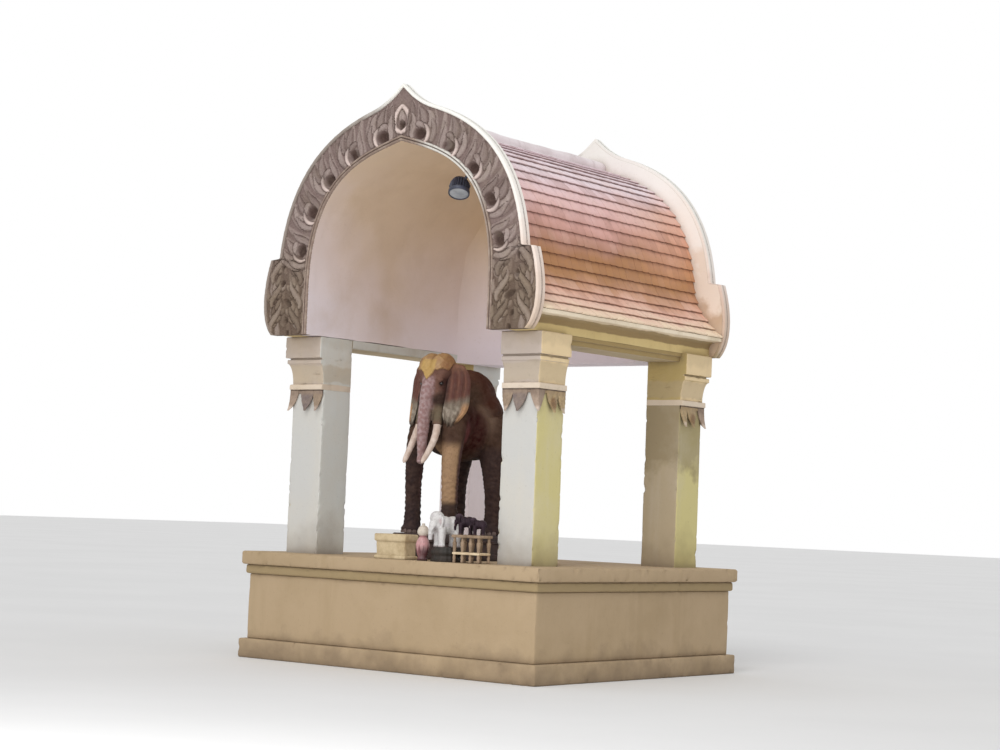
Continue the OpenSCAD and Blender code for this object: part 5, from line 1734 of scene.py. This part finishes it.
def dark_figures():
    low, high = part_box("offering_stand")
    shape, colours = Shape(), []
    for k in range(2):
        foot = (low.x + 0.180 * (0.28 + 0.46 * k), low.y + 0.055, high.z)
        p, world, faces = little_elephant(0.104 * (1 - 0.16 * k), math.radians(-55), foot)
        shape.add(world, faces)
        colours.append(painted(p, (40, 26, 34), [
            (0.6 * smoothstep(ripple(p, 0.25, 64 + k), 0.1, 1.2), (26, 16, 24)),
            # Lighter toward the top, as wear and as a painted highlight.
            (0.4 * smoothstep(p[:, 2], 0.78, 0.98), (92, 74, 84)),
            (0.7 * smoothstep(p[:, 2], 0.10, 0.02), (96, 74, 70)),
            (0.8 * blot(both(p), (0.075, -0.60, 0.46), (0.05, 0.07, 0.07)), (196, 180, 172)),
        ], 1.0))
    make_piece("figures_dark", shape, dark_glaze, ["dark_figures"], sharp=60,
               colours=np.vstack(colours))


def incense_trough():
    """A small box with a waist between two lips, and a bed of ash."""
    low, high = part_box("incense_trough")
    lip, wall, tall = 0.008, 0.014, high.z - low.z
    foot, neck, inner = tall * 0.14, tall * 0.72, lip + wall
    rows = [(0.0, 0.002), (0.003, 0.0), (foot - 0.003, 0.0), (foot, 0.002), (foot + 0.003, lip),
            (neck - 0.004, lip), (neck, 0.002), (neck + 0.003, 0.0), (tall - 0.004, 0.0), (tall, 0.004),
            (tall, inner - 0.003), (tall - 0.004, inner), (tall * 0.62, inner)]
    shape = Shape()
    levels = inset_levels(low, high, [(low.z + z, d) for z, d in rows], radius=0.004, step=0.010)
    block(shape, levels, step=0.008, wear=0.0015, seed=131, chips=0.003)
    u, v = np.meshgrid(np.linspace(low.x + inner, high.x - inner, 40),
                       np.linspace(low.y + inner, high.y - inner, 20), indexing="ij")
    bed = np.dstack([u, v, low.z + tall * 0.70 + 0.003 * np.tanh(ripple(np.dstack([u, v]), 0.04, 132))])
    shape.grid(bed, slots=1, closed=False)
    make_piece("trough", shape, [trough_clay, ash], ["incense_trough"], sharp=45)


# Lamp

def arch_lamp():
    """A round finned lamp on a stem, aimed down into the arch."""
    d, l, stem = 0.108, 0.092, 0.090
    (x, z), (nx, nz) = cubic(ARCH, [0.48])[0], cubic_normal(ARCH, [0.48])[0]
    foot = Vector((x, 0.010 + ROOF_Y - VAULT_Y, z))
    up = Vector((-nx, 0, -nz))
    way = Vector((0.224, -0.375, -0.900))

    def standing(place, direction):
        return Matrix.Translation(place) @ direction.to_track_quat("Z", "Y").to_matrix().to_4x4()

    head = standing(foot + up * stem - way * (l / 2), way)
    metal, glass = Shape(), Shape()
    lathe(metal, [(0.028, 0.0), (0.030, 0.001), (0.030, 0.006), (0.027, 0.008), (0.012, 0.0085),
                  (0.010, 0.014), (0.0075, 0.017), (0.0075, stem - 0.03)], standing(foot, up), turn=32)
    lathe(metal, [(0.014, 0.0), (d * 0.24, 0.002), (d * 0.30, l * 0.10), (d * 0.36, l * 0.33),
                  (d * 0.37, l * 0.72), (d * 0.44, l * 0.76)], head, turn=40)
    fins = np.array([(0.30, 0.03), (0.40, 0.20), (0.47, 0.36), (0.47, 0.74), (0.36, 0.75)])
    lathe(metal, fins * [d, l], head, turn=132, lobes=22, depth=0.24)
    bezel = np.array([(0.42, 0.76), (0.49, 0.78), (0.50, 0.82), (0.50, 0.97), (0.485, 1), (0.45, 1),
                      (0.44, 0.95), (0.43, 0.92)])
    lathe(metal, bezel * [d, l], head, turn=48)
    for side in (-1, 1):
        pivot = Matrix.Translation((side * d * 0.475, 0, l * 0.48))
        arm = head @ pivot @ Matrix.Rotation(math.pi / 2, 4, "Y")
        lathe(metal, [(0.006, -0.002), (0.007, -0.001), (0.007, 0.002), (0.004, 0.0026)], arm, turn=12)
    make_piece("lamp_housing", metal, lamp_black, ["arch_lamp"], sharp=35)
    lathe(glass, [(d * 0.445, l * 0.93), (d * 0.445, l * 0.955), (d * 0.30, l * 0.965), (d * 0.12, l * 0.97),
                  (0.002, l * 0.972)], head, turn=48)
    make_piece("lamp_glass", glass, lamp_glass, sharp=50)


glazed_paint = statue_material("glazed_paint", 0.45, (150, 138, 136), (74, 58, 54))
base_glaze = plain_material("base_glaze", (28, 22, 14), (40, 28, 18), 0.6, 26.0)
dark_glaze = statue_material("dark_glaze", 0.6, (72, 50, 62), (34, 22, 28), 0.2)
stand_board = plain_material("stand_board", (226, 206, 172), (196, 170, 136))
ash = plain_material("ash", (150, 140, 128), (116, 106, 96), 0.95, 60.0)
lamp_glass = plain_material("lamp_glass", (176, 182, 188), (150, 156, 164), 0.25, 30.0, coat=0.5)
white_figure()
lidded_jar()
offering_stand()
dark_figures()
incense_trough()
arch_lamp()


# Floor, light and camera

# The sky's strength as light and as the camera sees it, and where the photograph was taken
SKY_LIGHT = 0.64
SKY_SEEN = 1.0
PHOTO_PLACE = Vector((6.876, -8.856, 0.801))
PHOTO_AIM = Vector((0, 0, 1.555))
PHOTO_ROLL = math.radians(2.3)


def studio():
    """A pale floor, a world that looks white to the camera, a soft sun and a fill light."""
    scene = bpy.context.scene
    scene.view_settings.view_transform = "Standard"
    mesh = bpy.data.meshes.new("studio_floor")
    r = 60
    mesh.from_pydata([(-r, -r, 0), (r, -r, 0), (r, r, 0), (-r, r, 0)], [], [(0, 1, 2, 3)])
    floor = bpy.data.objects.new("studio_floor", mesh)
    scene.collection.objects.link(floor)
    p = Paint("floor_paint", roughness=0.9)
    dark_grey, light_grey = 0.80, 0.82
    mesh.materials.append(p.finish(p.span(p.noise(0.6), 0.4, 0.6, dark_grey, light_grey)))

    world = bpy.data.worlds.new("studio_world")
    scene.world = world
    world.use_nodes = True
    nodes, links = world.node_tree.nodes, world.node_tree.links
    rays = nodes.new("ShaderNodeLightPath").outputs
    seen = rays["Is Camera Ray"]
    for kind in ("Is Glossy Ray", "Is Transmission Ray"):
        node = nodes.new("ShaderNodeMath")
        node.operation = "MAXIMUM"
        links.new(seen, node.inputs[0])
        links.new(rays[kind], node.inputs[1])
        seen = node.outputs[0]
    strength = nodes.new("ShaderNodeMapRange")
    links.new(seen, strength.inputs["Value"])
    strength.inputs["To Min"].default_value = SKY_LIGHT
    strength.inputs["To Max"].default_value = SKY_SEEN
    nodes["Background"].inputs["Color"].default_value = (1, 1, 1, 1)
    links.new(strength.outputs["Result"], nodes["Background"].inputs["Strength"])

    def lamp(name, kind, energy, place, toward):
        light = bpy.data.lights.new(name, kind)
        light.energy = energy
        ob = bpy.data.objects.new(name, light)
        scene.collection.objects.link(ob)
        ob.location = place
        ob.rotation_euler = Vector(toward).to_track_quat("Z", "Y").to_euler()
        return light

    key = lamp("key", "SUN", 0.75, (0, 0, 0), (0.20, -0.60, 0.75))
    key.angle = math.radians(25)
    fill = lamp("fill", "AREA", 85, (2.6, -5.6, 1.2), (2.6, -4.8, -0.7))
    fill.shape = "DISK"
    fill.size = 3.0


def camera():
    """Stands where the photograph was taken, turned to the building, with a longer lens."""
    data = bpy.data.cameras.new("camera")
    data.sensor_width = 36
    data.lens = 75
    data.clip_end = 200
    ob = bpy.data.objects.new("camera", data)
    bpy.context.scene.collection.objects.link(ob)
    turn = (PHOTO_PLACE - PHOTO_AIM).to_track_quat("Z", "Y").to_matrix().to_4x4()
    ob.matrix_world = Matrix.Translation(PHOTO_PLACE) @ turn @ Matrix.Rotation(PHOTO_ROLL, 4, "Z")
    bpy.context.scene.camera = ob


studio()
camera()
